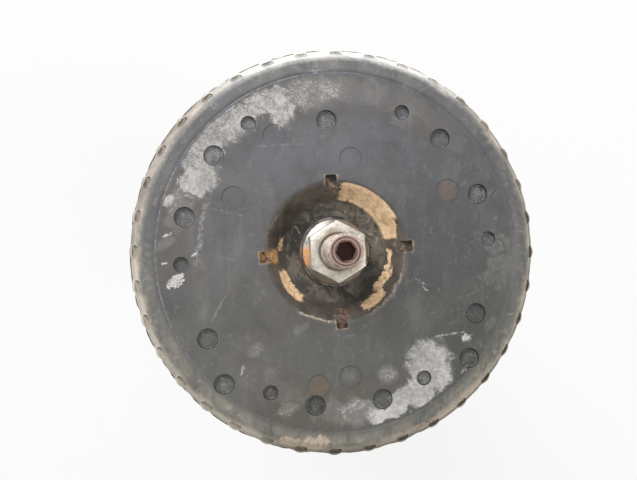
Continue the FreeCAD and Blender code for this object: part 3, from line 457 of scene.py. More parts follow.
    # the cup: brown-black dirt, with tan dust lodged on its wall and in its notches
    below = f.ramp(z, -0.25, -1.5) * f.ramp(r, 32.4, 31.8)
    wall = f.between(r, 21.3, 28.9, 0.9) * f.ramp(z, -0.4, -1.0)
    dirt = f.mix(f.step(cloud, 0.35, 0.65), (50, 44, 40), (94, 84, 75))
    f.lay(below * 0.94, dirt)
    f.lay(wall * f.step(smear, 0.5, 0.7) * 0.4, (112, 98, 84))
    f.lay(f.ramp(r + (cloud - 0.5) * (4 * MM), 24, 20.5) * below * 0.9,
          f.mix(f.step(cloud * 0.5 + smear * 0.5, 0.36, 0.62), (46, 43, 41), (70, 64, 58)))
    f.lay(f.most([f.sector(205, 30, 25), f.sector(5, 14, 14)]) * below * 0.35, (98, 90, 82))
    grooves = f.maths("SINE", r * (2.1 / MM)) * 0.5 + 0.5
    f.lay(grooves * f.ramp(r, 20.6, 19.6) * below * 0.12, (104, 98, 92))
    foot = f.ramp(r, 18.6, 15.8) * below
    f.lay(foot * 0.6, (62, 50, 41))
    ragged = r + (cloud - 0.5) * (5 * MM) + (scuff - 0.5) * (3 * MM) + (fine - 0.5) * (2 * MM)
    lodged = f.most(
        f.sector(middle, half, 6) * f.between(ragged, low, high, 0.5) * much
        for middle, half, low, high, much in CUP_DUST
    )
    lodged = f.step(lodged + (smear - 0.5) * 1.1 + (fine - 0.5) * 1.3, 0.42, 0.78) * wall
    tan = f.mix(f.step(fine * 0.4 + scuff * 0.6, 0.36, 0.6), (196, 160, 120), (250, 218, 176))
    tan = f.mix(f.step(grit * 0.4 + smear * 0.6, 0.53, 0.64) * 0.7, tan, (136, 106, 78))
    f.lay(lodged * 0.95, tan)
    # pale dust along the cup's lip, with a painted highlight where the lip faces the light
    lip_dust_and_highlight = f.between(ragged, 28.2, 29.2, 0.25) * specks(0.4, 0.56)
    lip_dust_and_highlight = lip_dust_and_highlight * f.most([f.sector(252, 13, 5), f.sector(325, 28, 10) * 0.45, f.sector(165, 25, 10) * 0.3])
    f.lay(lip_dust_and_highlight * 0.8, (204, 186, 164))
    turned = f.node("ShaderNodeMapping", None, {"Vector": frayed, "Rotation": (0, 0, math.radians(-NOTCH_TURN))})
    folded = f.vector("ABSOLUTE", turned)
    east, north = f.part(folded, "X"), f.part(folded, "Y")
    aside, along = f.maths("MINIMUM", east, north), f.maths("MAXIMUM", east, north)
    # pale dust on the notches' rims, which also stands as a painted highlight on their edges
    rims = f.most([
        f.between(aside, 1.9, 2.9, 0.3) * f.between(along, 24.5, 31.9, 0.5),
        f.between(along, 31.0, 32.0, 0.3) * f.ramp(aside, 2.8, 2.3),
    ])
    rims = rims * specks(0.4, 0.56) * f.ramp(z, -2.4, -0.8)
    f.lay(rims * 0.62, (176, 152, 126))
    notch = f.between(r, 23.8, 32.0, 0.3) * f.ramp(z, -1.6, -2.6)
    for way, tone, much in ((180, (206, 156, 104), 1.0), (270, (150, 112, 96), 0.55),
                            (0, (150, 128, 106), 0.3), (90, (166, 138, 108), 0.4)):
        crumbs = specks(0.56 - much * 0.14, 0.64 - much * 0.12)
        f.lay(notch * f.sector(way + NOTCH_TURN, 6, 2) * crumbs * 0.9, tone)

    # the shoulder and the side wall are powdered; painted light makes them palest at the top, and painted shade
    # greenish and darker at the lower right, where the powder is thin
    powder_and_painted_light = f.mix(f.step(cloud, 0.3, 0.7), (142, 133, 121), (190, 180, 166))
    powder_and_painted_light = f.mix(f.sector(90, 30, 18), powder_and_painted_light, (232, 230, 224))
    powder_and_painted_light = f.mix(f.sector(264, 20, 14) * 0.8, powder_and_painted_light, f.mix(cloud, (96, 94, 82), (132, 128, 112)))
    soft = r + (cloud - 0.5) * (5 * MM) + (fine - 0.5) * (1.5 * MM)
    side = f.ramp(soft, 77.6, 82.2)
    side = side + f.ramp(r, 83.0, 84.0) * (1.0 - side)
    f.lay(side * (0.55 + f.step(smear * 0.5 + fine * 0.5, 0.34, 0.56) * 0.45), powder_and_painted_light)
    dusty = f.between(r, 75.5, 80.0, 1.5) * f.step(scuff, 0.5, 0.68)
    f.lay(dusty * 0.4, (160, 152, 138))
    shelf = 0.04 + f.sector(262, 68, 15) * 0.22 + f.sector(97, 25, 15) * 0.11
    shelf = shelf * f.between(r, 74.6, 82.0, 1.2) * f.step(smear, 0.3, 0.55)
    f.lay(shelf, (172, 167, 150))
    pale = f.most([f.blot(80.5, 302, 6.0, 1.6, 30, 0.6, frayed), f.blot(81, 317, 5.0, 1.6, 47, 0.6, frayed),
                   f.blot(78.5, 263.5, 6.0, 3.5, 10, 0.4, frayed), f.blot(80, 257, 6.0, 2.4, -24, 0.4, frayed),
                   f.between(r, 78.4, 80.4, 0.7) * f.sector(302, 20, 8) * 0.7])
    pale = pale * specks(0.38, 0.54)
    f.lay(pale * 0.85, (186, 168, 148))
    f.lay(f.sector(216, 34, 12) * f.ramp(soft, 79.0, 82.5) * 0.7, (220, 211, 196))
    # painted shade in the pockets: their floors darker, most at the lower right
    pocket_shade = f.between(r, 80.3, 83.2, 0.1) * f.ramp(z, -4.8, -5.8)
    f.lay(pocket_shade * (0.25 + f.sector(318, 55, 15) * 0.6), f.mix(cloud, (92, 88, 76), (124, 116, 100)))
    # the wall below the rim darker: stains, and painted shade under the shoulder
    lower = f.ramp(z, -8.7, -9.6)
    stains_and_shade = f.step(f.noise(7, 7, 0.7, 41, 0.6, (1, 1, 0.35)), 0.40, 0.62)
    f.lay(lower * 0.9, f.mix(stains_and_shade, (50, 48, 43), (112, 104, 91)))
    f.lay(lower * f.step(scuff, 0.58, 0.66) * 0.6, (170, 160, 144))

    rough = 0.52 + cloud * 0.14 + veil * 0.15 + cover * 0.2 + side * 0.22 + below * 0.14
    relief = fine * 0.22 + cover * (0.3 + fine * 0.6) + cloud * 0.5 + lodged * (0.6 + fine)
    f.set(Base_Color=f.base, Roughness=rough, Normal=f.bump(relief, 0.2, 0.8))
    return f.material


def zinc_finish():
    """White zinc plate, dulled and stained, with rust at the foot of the nut."""
    f = Finish("zinc_plate")
    z = f.height
    cloud = f.noise(5, 6, 0.65, 2)
    fine = f.noise(0.8, 5, 0.7, 5)
    f.base = f.mix(f.step(cloud, 0.3, 0.7), (236, 229, 216), (196, 189, 176))
    f.lay(f.step(fine, 0.52, 0.64) * 0.65, (138, 128, 112))
    stains = f.step(f.noise(3.5, 6, 0.7, 8), 0.55, 0.68) * f.ramp(z, 5.6, 3)
    f.lay(stains * 0.55, (122, 102, 82))
    low = f.ramp(z, -2.6, -4.4)
    low_tone = f.mix(f.step(cloud, 0.3, 0.7), (74, 62, 52), (136, 116, 94))
    low_tone = f.mix(f.sector(150, 45, 20) * f.step(cloud, 0.35, 0.55), low_tone, (190, 190, 186))
    f.lay(low * 0.85, low_tone)
    spot = f.sector(189, 13, 10) * f.ramp(z, 4.6, 2.5) * f.step(cloud * 0.6 + fine * 0.4, 0.4, 0.52)
    f.lay(spot * 0.95, f.mix(f.step(fine, 0.35, 0.65), (206, 126, 50), (232, 176, 112)))
    f.set(
        Base_Color=f.base, Metallic=0.7 - spot * 0.7 - stains * 0.3 - low * 0.2,
        Roughness=0.4 + fine * 0.2 + spot * 0.35 + stains * 0.25,
        Normal=f.bump(fine * 0.6 + cloud, 0.08, 0.6),
    )
    return f.material


def worn_washer_finish():
    """The washer and the sleeve's flange: dulled plate under oily brown dirt, worn bright on the steps."""
    f = Finish("worn_washer")
    cloud = f.noise(6, 6, 0.65, 3)
    fine = f.noise(0.9, 5, 0.7, 6)
    rings = f.between(f.reach, 13.95, 14.45, 0.1) + f.between(f.reach, 14.75, 15.0, 0.1)
    f.base = f.mix(f.step(cloud, 0.35, 0.65), (62, 56, 50), (118, 108, 96))
    f.lay(f.step(fine, 0.5, 0.62) * 0.55, (52, 42, 34))
    f.lay(rings * f.step(cloud, 0.4, 0.6) * 0.6, (196, 190, 180))
    tint = f.sector(200, 50, 20) * f.step(fine, 0.45, 0.6)
    f.lay(tint * 0.4, (150, 106, 72))
    f.set(
        Base_Color=f.base, Metallic=0.45, Roughness=0.48 + fine * 0.25,
        Normal=f.bump(fine + cloud, 0.1, 0.7),
    )
    return f.material


def rod_finish():
    """Hard chrome below; above the shoulder a rusted stud, zinc left on its thread and a brown end."""
    f = Finish("rod_chrome_and_rust")
    r, z = f.reach, f.height
    cloud = f.noise(4, 6, 0.65, 2)
    fine = f.noise(0.7, 5, 0.7, 5)
    chrome = f.mix(f.noise(30, 3, 0.5, 1), (214, 216, 220), (196, 199, 205))
    thread = f.mix(f.step(cloud, 0.4, 0.66), (204, 196, 184), (156, 128, 112))
    thread = f.mix(f.step(fine, 0.5, 0.62) * 0.7, thread, (112, 84, 70))
    end = f.step(z, ROD_END - 1.3 * MM, ROD_END - 0.5 * MM)
    brown = f.mix(f.step(cloud, 0.3, 0.7), (84, 59, 52), (126, 98, 88))
    bright = f.mix(cloud, (196, 176, 166), (146, 118, 108))
    rims = f.most([f.between(r, 5.75, 6.35, 0.2), f.between(r, 4.5, 4.85, 0.15)])
    tone = f.mix(rims, brown, bright)
    socket = f.ramp(r, 4.1, 3.9) * f.step(z, ROD_END - 0.5 * MM, ROD_END - 1.1 * MM)
    f.base = f.mix(end, thread, tone)
    f.lay(socket, f.mix(cloud, (96, 68, 62), (130, 98, 90)))
    stud = f.step(z, SHOULDER - 0.5 * MM, SHOULDER + 0.5 * MM)
    f.base = f.mix(stud, chrome, f.base)
    f.set(
        Base_Color=f.base,
        Metallic=1.0 - stud * (0.5 + end * 0.4),
        Roughness=0.12 + stud * (0.36 + fine * 0.25 + end * 0.1),
        Normal=f.bump(fine * stud, 0.08, 0.6),
    )
    return f.material


def spring_finish():
    """Powder-coated wire, chalky with dust on top, chipped to rust along its turns."""
    f = Finish("spring_coat")
    cloud = f.noise(25, 5, 0.6, 2)
    fine = f.noise(1.4, 6, 0.7, 5)
    chips = f.step(f.noise(7, 9, 0.75, 8), 0.66, 0.69)
    f.base = f.mix(cloud, (38, 39, 41), (58, 58, 58))
    f.lay(f.step(cloud * 0.5 + fine * 0.5, 0.5, 0.68) * 0.5, (134, 124, 108))
    rough = rust_over(f, 0.42 + fine * 0.25, chips)
    f.set(Base_Color=f.base, Roughness=rough, Normal=f.bump(fine * 0.3 - chips, 0.15, 0.8))
    return f.material


FINISHES = {
    "mount_rubber": mount_rubber_finish(),
    "zinc_plate": zinc_finish(),
    "zinc_plate_worn": worn_washer_finish(),
    "hard_chrome": rod_finish(),
    "pressed_steel": painted_steel("insert_paint", (46, 46, 48), 0.3, 0.7),
    "race_plastic": plain_moulding("race_plastic", (44, 45, 48), 0.4, 0.2),
    "foam_rubber": plain_moulding("foam_rubber", (176, 146, 84), 0.85, 0.25, 0.6),
    "plain_steel": plain_metal("plain_steel", (176, 178, 180)),
    "seal_rubber": plain_moulding("seal_rubber", (34, 34, 36), 0.4, 0.1),
    "sintered_iron": plain_metal("sintered_iron", (118, 118, 120), 0.5, 0.5),
    "band_plastic": plain_moulding("band_plastic", (120, 104, 78), 0.5, 0.1),
    "spring_steel": plain_metal("spring_steel", (192, 194, 198), 0.26, 0.15),
    "cage_plastic": plain_moulding("cage_plastic", (206, 200, 180), 0.45, 0.1),
    "ball_steel": plain_metal("ball_steel", (214, 216, 220), 0.14, 0.1),
    "black_paint": painted_steel("seat_paint", (38, 39, 41), 0.5, 0.45),
    "isolator_rubber": plain_moulding("isolator_rubber", (44, 44, 44), 0.6, 0.4),
    "spring_coating": spring_finish(),
    "boot_rubber": plain_moulding("boot_rubber", (48, 48, 50), 0.55, 0.5),
    "tube_paint": painted_steel("tube_paint", (40, 41, 43), 0.55, 0.6),
    "bush_bronze": plain_metal("bush_bronze", (176, 132, 84), 0.3, 0.3),
}


# Mesh helpers

SOFTENED_ANGLE = math.radians(28)

slot_of = {s["node"]: s["material_slot"] for s in frame["record"]["subparts"]}
body_of_node = {n: b for b, nodes in frame["record"]["behaviour"]["bodies"].items() for n in nodes}


def new_object(name, data):
    made = bpy.data.objects.new(name, data)
    bpy.context.scene.collection.objects.link(made)
    return made


def add_piece(name, mesh, node=None, body=None, slot=None):
    """Puts a finished mesh in the scene: it stands for `node`, or rides on `body` beside the CAD pieces."""
    slot = slot or slot_of[node]
    mesh.materials.clear()
    mesh.materials.append(FINISHES[slot])
    piece = new_object(name, mesh)
    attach(piece, body or body_of_node[node])
    if node:
        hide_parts(node)
    return piece


def to_mesh(bm, name):
    for face in bm.faces:
        face.smooth = True
    mesh = bpy.data.meshes.new(name)
    bm.to_mesh(mesh)
    bm.free()
    return mesh


def spun_shape(profile, steps=96, closed=False):
    """A bmesh turned about Z from (radius, height) points; points on the axis close it."""
    bm = bmesh.new()
    verts = [bm.verts.new((max(r, 0), 0, z)) for r, z in profile]
    edges = [bm.edges.new(pair) for pair in zip(verts, verts[1:])]
    if closed:
        edges.append(bm.edges.new((verts[-1], verts[0])))
    bmesh.ops.spin(bm, geom=verts + edges, cent=(0, 0, 0), axis=UP, dvec=(0, 0, 0),
                   angle=math.tau, steps=steps, use_merge=True)
    bmesh.ops.remove_doubles(bm, verts=bm.verts, dist=1e-7)
    bmesh.ops.recalc_face_normals(bm, faces=bm.faces)
    return bm


def rounded(points, radii, segments):
    """An open or closed outline with its corners rounded: one radius for each point, 0 for a sharp one."""
    out = []
    count = len(points)
    room = 0.48  # of the side before or after, at most
    for i, (point, radius) in enumerate(zip(points, radii)):
        here = Vector(point)
        before = Vector(points[(i - 1) % count])
        after = Vector(points[(i + 1) % count])
        if radius <= 0:
            out.append((here.x, here.y))
            continue
        a = (before - here).normalized()
        b = (after - here).normalized()
        half = a.angle(b) / 2
        cut = min(radius / math.tan(half), (before - here).length * room, (after - here).length * room)
        start = here + a * cut
        finish = here + b * cut
        for k in range(segments + 1):
            t = k / segments
            bend = (1 - t) ** 2 * start + 2 * t * (1 - t) * here + t * t * finish
            out.append((bend.x, bend.y))
    return out


def applied(name, data, *modifiers):
    """The mesh of a shape or curve after modifiers, each given as (type, settings)."""
    holder = new_object(name, data)
    for kind, settings in modifiers:
        modifier = holder.modifiers.new(kind.lower(), kind)
        for key, value in settings.items():
            setattr(modifier, key, value)
    graph = bpy.context.evaluated_depsgraph_get()
    mesh = bpy.data.meshes.new_from_object(holder.evaluated_get(graph))
    bpy.data.objects.remove(holder)
    return mesh


def cut_from(bm, cutter, name, *after):
    """`bm` less `cutter`, as a mesh. Modifiers in `after` follow the cut."""
    tool = new_object("cutter", to_mesh(cutter, "cutter"))
    cut = {"operation": "DIFFERENCE", "solver": "EXACT", "use_self": True, "object": tool}
    mesh = applied(name, to_mesh(bm, name), ("BOOLEAN", cut), *after)
    bpy.data.objects.remove(tool)
    return mesh


def smooth_by_angle(mesh, degrees=35):
    """Smooth shading with the edges sharper than `degrees` kept crisp."""
    bm = bmesh.new()
    bm.from_mesh(mesh)
    limit = math.radians(degrees)
    for face in bm.faces:
        face.smooth = True
    for edge in bm.edges:
        edge.smooth = not (len(edge.link_faces) == 2 and edge.calc_face_angle(0) > limit)
    bm.to_mesh(mesh)
    bm.free()
    return mesh


def evened(mesh):
    """Normals weighted by area, so that large flat faces stay flat up to their rounded edges."""
    bm = bmesh.new()
    bm.from_mesh(mesh)
    weighted = {"mode": "FACE_AREA", "weight": 50, "keep_sharp": True}
    return applied(mesh.name, to_mesh(bm, mesh.name), ("WEIGHTED_NORMAL", weighted))


def bevelled(bm, edges, width, segments=3):
    bmesh.ops.bevel(bm, geom=list(edges), offset=width, offset_type="OFFSET", segments=segments, profile=0.5,
                    affect="EDGES", clamp_overlap=True, material=-1)


def softened(node, width):
    """A copy of a CAD piece, welded and with its corners rounded off, that stands for it."""
    bm = bmesh.new()
    bm.from_mesh(frame["nodes"][node].data)
    bmesh.ops.remove_doubles(bm, verts=bm.verts, dist=2e-6)
    bmesh.ops.dissolve_limit(bm, angle_limit=math.radians(0.6), verts=bm.verts, edges=bm.edges)
    sharp = [e for e in bm.edges if len(e.link_faces) == 2 and e.calc_face_angle(0) > SOFTENED_ANGLE]
    bevelled(bm, sharp, width, 2)
    add_piece(node + "_finished", smooth_by_angle(to_mesh(bm, node)), node)


# The top mount

MOUNT_PROFILE = (
    # radius mm, height mm, corner radius mm
    (11.5, -9.6, 0), (21.6, -9.6, 5.0), (27.3, -1.9, 2.4), (29.4, 0.0, 1.6),
    (73.4, 0.0, 0.5), (74.4, 0.4, 0.8), (78.3, 0.4, 1.6), (79.8, -0.5, 1.3),
    (80.4, -1.8, 0), (81.1, -3.2, 0), (81.8, -4.6, 0), (82.5, -6.0, 0), (83.1, -7.2, 0),
    (83.5, -8.1, 0.4), (83.5, -9.2, 0.3), (84.3, -10.1, 0.5), (84.3, -14.1, 1.0), (81.9, -22.0, 1.2),
    (79.9, -24.0, 1.2), (75.5, -24.0, 1.0), (70.0, -14.0, 1.0), (52.0, -14.0, 0.8), (50.0, -11.5, 0),
    (31.0, -11.5, 0), (31.0, -30.0, 0), (24.0, -30.0, 0.8), (20.0, -25.0, 1.5), (16.0, -30.0, 0.8),
    (11.5, -30.0, 0),
)
RIM_TOP = -9.6 * MM
RIM_FOOT = -14.5 * MM
POCKET_LENGTH = 5.2 * MM
POCKET_WIDTH = 2.3 * MM
POCKET_FLOOR = -6 * MM
POCKET_REACH = MOUNT_RADIUS - 2.55 * MM
NOTCH_MIDDLE = (27.5 * MM, 0, 0.4 * MM)
NOTCH_SIZE = (8 * MM, 4.6 * MM, 7 * MM, 1)
CUTTER_RISE = 2 * MM
SMALL_RECESS = 3.1 * MM
LARGE_RECESS = 4.2 * MM
RECESS_DEPTH = 1.8 * MM
PLUG_RADIUS = 4.7 * MM
PLUG_DEPTH = 0.35 * MM
RECESSES = (
    [(63.2, 4.8 + 60 * i, SMALL_RECESS) for i in range(6)]
    + [(63.2, 34.8 + 120 * i + side, LARGE_RECESS) for i in range(3) for side in (-12.6, 12.6)]
    + [(r, a, LARGE_RECESS) for r, a in ((53.8, 94.5), (63.0, 213.9), (63.0, 336.2), (70.3, 229.6), (70.3, 321.4))]
)
PLUGS = ((38.5, 81.4), (53.6, 118.5), (47.5, 152.8), (52.5, 28.9), (55.3, 262.4), (51.5, 276.4))


def drill(bm, radius, depth, x, y, floor_round=0.0):
    """A round cutter standing in the face, its lower edge rounded."""
    height = depth + CUTTER_RISE
    made = bmesh.ops.create_cone(bm, cap_ends=True, segments=40, radius1=radius, radius2=radius, depth=height,
                                 matrix=Matrix.Translation((x, y, height / 2 - depth)))
    if floor_round:
        floor = [v for v in made["verts"] if v.co.z < 0]
        edges = {e for v in floor for e in v.link_edges if all(o in floor for o in e.verts)}
        bevelled(bm, edges, floor_round)


def pocket_cutter(bm, degrees):
    """A cutter with round ends, standing in the shoulder with its length across the radius."""
    half = POCKET_LENGTH / 2 - POCKET_WIDTH / 2
    made = bmesh.ops.create_cone(bm, cap_ends=True, segments=16, radius1=POCKET_WIDTH / 2, radius2=POCKET_WIDTH / 2,
                                 depth=CUTTER_RISE - POCKET_FLOOR)
    for vert in made["verts"]:
        vert.co.y += half if vert.co.y > 0 else -half
    place = Matrix.Translation((POCKET_REACH, 0, (CUTTER_RISE + POCKET_FLOOR) / 2))
    turn = Matrix.Rotation(math.radians(degrees), 4, "Z") @ place
    bmesh.ops.transform(bm, matrix=turn, verts=made["verts"])


def mount_rubber():
    corners = [(r * MM, z * MM) for r, z, _ in MOUNT_PROFILE]
    profile = rounded(corners, [c * MM for _, _, c in MOUNT_PROFILE], 4)
    bm = spun_shape(profile, steps=504, closed=True)
    # the wall swells behind each pocket, and the plain rim below it is nicked
    for vert in bm.verts:
        reach = math.hypot(vert.co.x, vert.co.y)
        if reach < MOUNT_SHOULDER + 0.3 * MM or vert.co.z > LOBE_TOP:
            continue
        pitch = math.tau / POCKETS
        angle = math.atan2(vert.co.y, vert.co.x)
        aside = reach * abs(angle - pitch * round(angle / pitch))
        swell = math.sqrt(max(LOBE_RADIUS ** 2 - aside ** 2, 0)) - (LOBE_RADIUS - LOBE_RISE)
        swell = max(swell, 0) * min(1, (LOBE_TOP - vert.co.z) / (2 * MM))
        worn = noise.noise(vert.co * 150) * 0.12 * MM
        if vert.co.z < RIM_TOP:
            swell = 0
            worn = min(0, noise.noise(vert.co * 220)) * 1.1 * MM if vert.co.z > RIM_FOOT else 0
        grown = min(reach + swell + worn, MOUNT_RADIUS) / reach
        vert.co.x *= grown
        vert.co.y *= grown
    cutter = bmesh.new()
    for radius, angle, size in RECESSES:
        drill(cutter, size, RECESS_DEPTH, *polar(radius * MM, angle), floor_round=0.8 * MM)
    for radius, angle in PLUGS:
        drill(cutter, PLUG_RADIUS, PLUG_DEPTH, *polar(radius * MM, angle))
    for i in range(POCKETS):
        pocket_cutter(cutter, 360 / POCKETS * i)
    for i in range(4):
        turn = Matrix.Rotation(math.radians(NOTCH_TURN + 90 * i), 4, "Z")
        notch = bmesh.ops.create_cube(cutter, size=1,
                                      matrix=turn @ Matrix.Translation(NOTCH_MIDDLE) @ Matrix.Diagonal(NOTCH_SIZE))
        upright = {e for v in notch["verts"] for e in v.link_edges if abs(e.verts[0].co.z - e.verts[1].co.z) > MM}
        bevelled(cutter, upright, 0.7 * MM)
    bevel = {"width": 0.25 * MM, "segments": 2, "limit_method": "ANGLE", "angle_limit": math.radians(38),
             "use_clamp_overlap": True, "harden_normals": False}
    mesh = cut_from(bm, cutter, "mount_rubber", ("BEVEL", bevel))
    add_piece("mount_rubber_moulded", evened(smooth_by_angle(mesh, 40)), "mount_rubber")


# The rod with its thread and socket

def hex_prism(bm, across, bottom, top, turn):
    corner = across / 2 / math.cos(math.radians(30))
    made = bmesh.ops.create_cone(bm, cap_ends=True, segments=6, radius1=corner, radius2=corner, depth=top - bottom)
    place = Matrix.Translation((0, 0, (top + bottom) / 2)) @ Matrix.Rotation(math.radians(turn), 4, "Z")
    bmesh.ops.transform(bm, matrix=place, verts=made["verts"])


def piston_rod():
    root = STUD_RADIUS - THREAD_DEPTH
    profile = rounded([
        (0, ROD_FOOT), (TAIL_RADIUS, ROD_FOOT), (TAIL_RADIUS, TAIL_TOP), (ROD_RADIUS, TAIL_TOP),
        (ROD_RADIUS, SHOULDER), (STUD_NECK, SHOULDER), (STUD_NECK, NUT_BASE), (root, NUT_BASE + 0.4 * MM),
        (root, ROD_END - STUD_CHAMFER), (STUD_END, ROD_END), (0, ROD_END),
    ], [0, 0.8 * MM, 0, 0.4 * MM, 0.6 * MM, 0, 0, 0, 0, 0.25 * MM, 0], 3)
    bm = spun_shape(profile, steps=64)
    cutter = bmesh.new()
    hex_prism(cutter, SOCKET_ACROSS, ROD_END - SOCKET_DEPTH, ROD_END + 2 * MM, 90 + SOCKET_TURN)
    mouth = bmesh.ops.create_cone(cutter, cap_ends=True, segments=48, radius1=3.3 * MM, radius2=4.6 * MM,
                                  depth=1.4 * MM)
    bmesh.ops.translate(cutter, vec=(0, 0, ROD_END + 0.1 * MM), verts=mouth["verts"])
    mesh = cut_from(bm, cutter, "piston_rod")
    add_piece("piston_rod_finished", smooth_by_angle(mesh, 30), "piston_rod")


def stud_thread():
    """One helical ridge with a flattened crest, dying away into the chamfer at the end."""
    root = STUD_RADIUS - THREAD_DEPTH - 0.1 * MM
    half = THREAD_PITCH * 0.46
    crest = THREAD_PITCH * 0.1
    start = NUT_BASE + 1 * MM
    chamfer_start = ROD_END - 1.6 * MM
    turns = (chamfer_start - start) / THREAD_PITCH
    steps = round(turns * 40)
    bm = bmesh.new()
    section = [(root, -half), (STUD_RADIUS, -crest), (STUD_RADIUS, crest), (root, half)]
    verts = [bm.verts.new((r, 0, start + z)) for r, z in section]
    edges = [bm.edges.new(pair) for pair in zip(verts, verts[1:] + verts[:1])]
    bmesh.ops.contextual_create(bm, geom=edges)
    geometry = verts + edges + list(bm.faces)
    bmesh.ops.spin(bm, geom=geometry, cent=(0, 0, 0), axis=UP, dvec=(0, 0, THREAD_PITCH * turns / steps),
                   angle=math.tau * turns, steps=steps)
    for vert in bm.verts:
        reach = math.hypot(vert.co.x, vert.co.y)
        over = max(0.0, vert.co.z - chamfer_start)
        allowed = STUD_RADIUS - over * 0.75
        nicked = noise.noise(vert.co * 500) * 0.1 * MM
        limit = min(reach, allowed + min(nicked, 0))
        if reach > root * 1.02:
            vert.co.x *= limit / reach
            vert.co.y *= limit / reach
        vert.co.z = min(vert.co.z, ROD_END - 0.5 * MM)
    bmesh.ops.recalc_face_normals(bm, faces=bm.faces)
    mesh = smooth_by_angle(to_mesh(bm, "stud_thread"), 30)
    add_piece("stud_thread", mesh, body="top_mount", slot="hard_chrome")


# Spring and boot

SPRING_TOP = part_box("coil_spring")[1][2]
SPRING_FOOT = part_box("coil_spring")[0][2]
SPRING_RADIUS = 68 * MM
WIRE_RADIUS = 6.5 * MM
SPRING_TURNS = 6.25
DEAD_TURNS = 0.62
EASING_TURNS = 0.35


def eased(turns):
    """How far the wire has run down after `turns`, in pitches: the dead coils lie flat."""
    past = turns - DEAD_TURNS
    if past <= 0:
        return 0.0
    if past < EASING_TURNS:
        return past * past / (2 * EASING_TURNS)
    return past - EASING_TURNS / 2


def coil_spring():
    half = SPRING_TURNS / 2
    rise = SPRING_TOP - SPRING_FOOT - 2 * WIRE_RADIUS
    pitch = rise / 2 / eased(half)
    count = round(SPRING_TURNS * 40)
    curve = bpy.data.curves.new("spring_wire", "CURVE")
    curve.dimensions = "3D"
    curve.bevel_depth = WIRE_RADIUS
    curve.bevel_resolution = 6
    curve.use_fill_caps = True
    curve.twist_mode = "MINIMUM"
    line = curve.splines.new("POLY")
    line.points.add(count)
    for i, point in enumerate(line.points):
        turns = SPRING_TURNS * i / count
        fallen = eased(turns) if turns <= half else 2 * eased(half) - eased(SPRING_TURNS - turns)
        x, y = polar(SPRING_RADIUS, -360 * turns)
        point.co = (x, y, SPRING_TOP - WIRE_RADIUS - fallen * pitch, 1)
    bm = bmesh.new()
    bm.from_mesh(applied("spring_wire", curve))
    bmesh.ops.remove_doubles(bm, verts=bm.verts, dist=1e-6)
    bmesh.ops.recalc_face_normals(bm, faces=bm.faces)
    piece = add_piece("coil_spring_wire", smooth_by_angle(to_mesh(bm, "coil_spring_wire"), 50), "coil_spring")
    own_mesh(piece)


def dust_boot():
    """Thin bellows with round folds, a cuff on the seat's collar and one over the tube's cap."""
    low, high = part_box("dust_boot")
    top, foot = high[2], low[2]
    wall = 1.6 * MM
    collar = 34 * MM
    cap = 27.4 * MM
    folds = 9
    cuff = 10 * MM
    fold_top = top - cuff - 2 * MM
    fold_foot = foot + cuff + 2 * MM
    valley = 30.2 * MM
    crest = 39.4 * MM
    bulge = 0.6 * MM
    outer = [(collar + wall, top), (collar + wall + bulge, top - 2 * MM), (collar + wall, top - 4 * MM),
             (collar + wall, fold_top + 2 * MM)]
    samples = folds * 16
    for i in range(samples + 1):
        share = i / samples
        wave = 0.5 - 0.5 * math.cos(math.tau * folds * share)
        outer.append((valley + (crest - valley) * wave ** 0.8, fold_top + (fold_foot - fold_top) * share))
    outer += [(cap + wall, fold_foot - 2 * MM), (cap + wall, foot + 4 * MM), (cap + wall + bulge, foot + 2 * MM),
              (cap + wall, foot)]
    inner_line = []
    for i, (r, z) in enumerate(outer):
        before = Vector(outer[max(i - 1, 0)])
        after = Vector(outer[min(i + 1, len(outer) - 1)])
        way = (after - before).normalized()
        inner_line.append((r + way.y * wall, z - way.x * wall))
    bm = spun_shape(outer + inner_line[::-1], steps=96, closed=True)
    piece = add_piece("dust_boot_bellows", smooth_by_angle(to_mesh(bm, "dust_boot_bellows"), 50), "dust_boot")
    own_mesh(piece)


# Weld beads on the tube

BEAD = 2.2 * MM
SEAT_COLLAR = 16.6 * MM
KNUCKLE_ARC = (124, 416)


def weld_ring(name, radius, height, size=BEAD, start=0, end=360):
    """A bead of weld round the tube, with the ripples of its laying."""
    bm = bmesh.new()
    sides = 8
    around = [math.tau * k / sides for k in range(sides)]
    verts = [bm.verts.new((radius + size * math.cos(a), 0, height + size * math.sin(a))) for a in around]
    edges = [bm.edges.new((verts[k], verts[(k + 1) % sides])) for k in range(sides)]
    sweep = end - start
    whole = sweep >= 360
    steps = max(8, round(sweep / 360 * 150))
    faces = [] if whole else list(bmesh.ops.contextual_create(bm, geom=edges)["faces"])
    bmesh.ops.rotate(bm, cent=(0, 0, 0), matrix=Matrix.Rotation(math.radians(start), 3, "Z"), verts=verts)
    bmesh.ops.spin(bm, geom=verts + edges + faces, cent=(0, 0, 0), axis=UP, dvec=(0, 0, 0),
                   angle=math.radians(sweep), steps=steps, use_merge=whole)
    for vert in bm.verts:
        angle = math.atan2(vert.co.y, vert.co.x)
        core = Vector((radius * math.cos(angle), radius * math.sin(angle), height))
        ripple = 1 + 0.12 * math.sin(angle * radius / (0.9 * MM)) + 0.25 * noise.noise(vert.co * 260)
        vert.co = core + (vert.co - core) * ripple
    bmesh.ops.recalc_face_normals(bm, faces=bm.faces)
    add_piece(name, to_mesh(bm, name), body="strut_tube", slot="tube_paint")


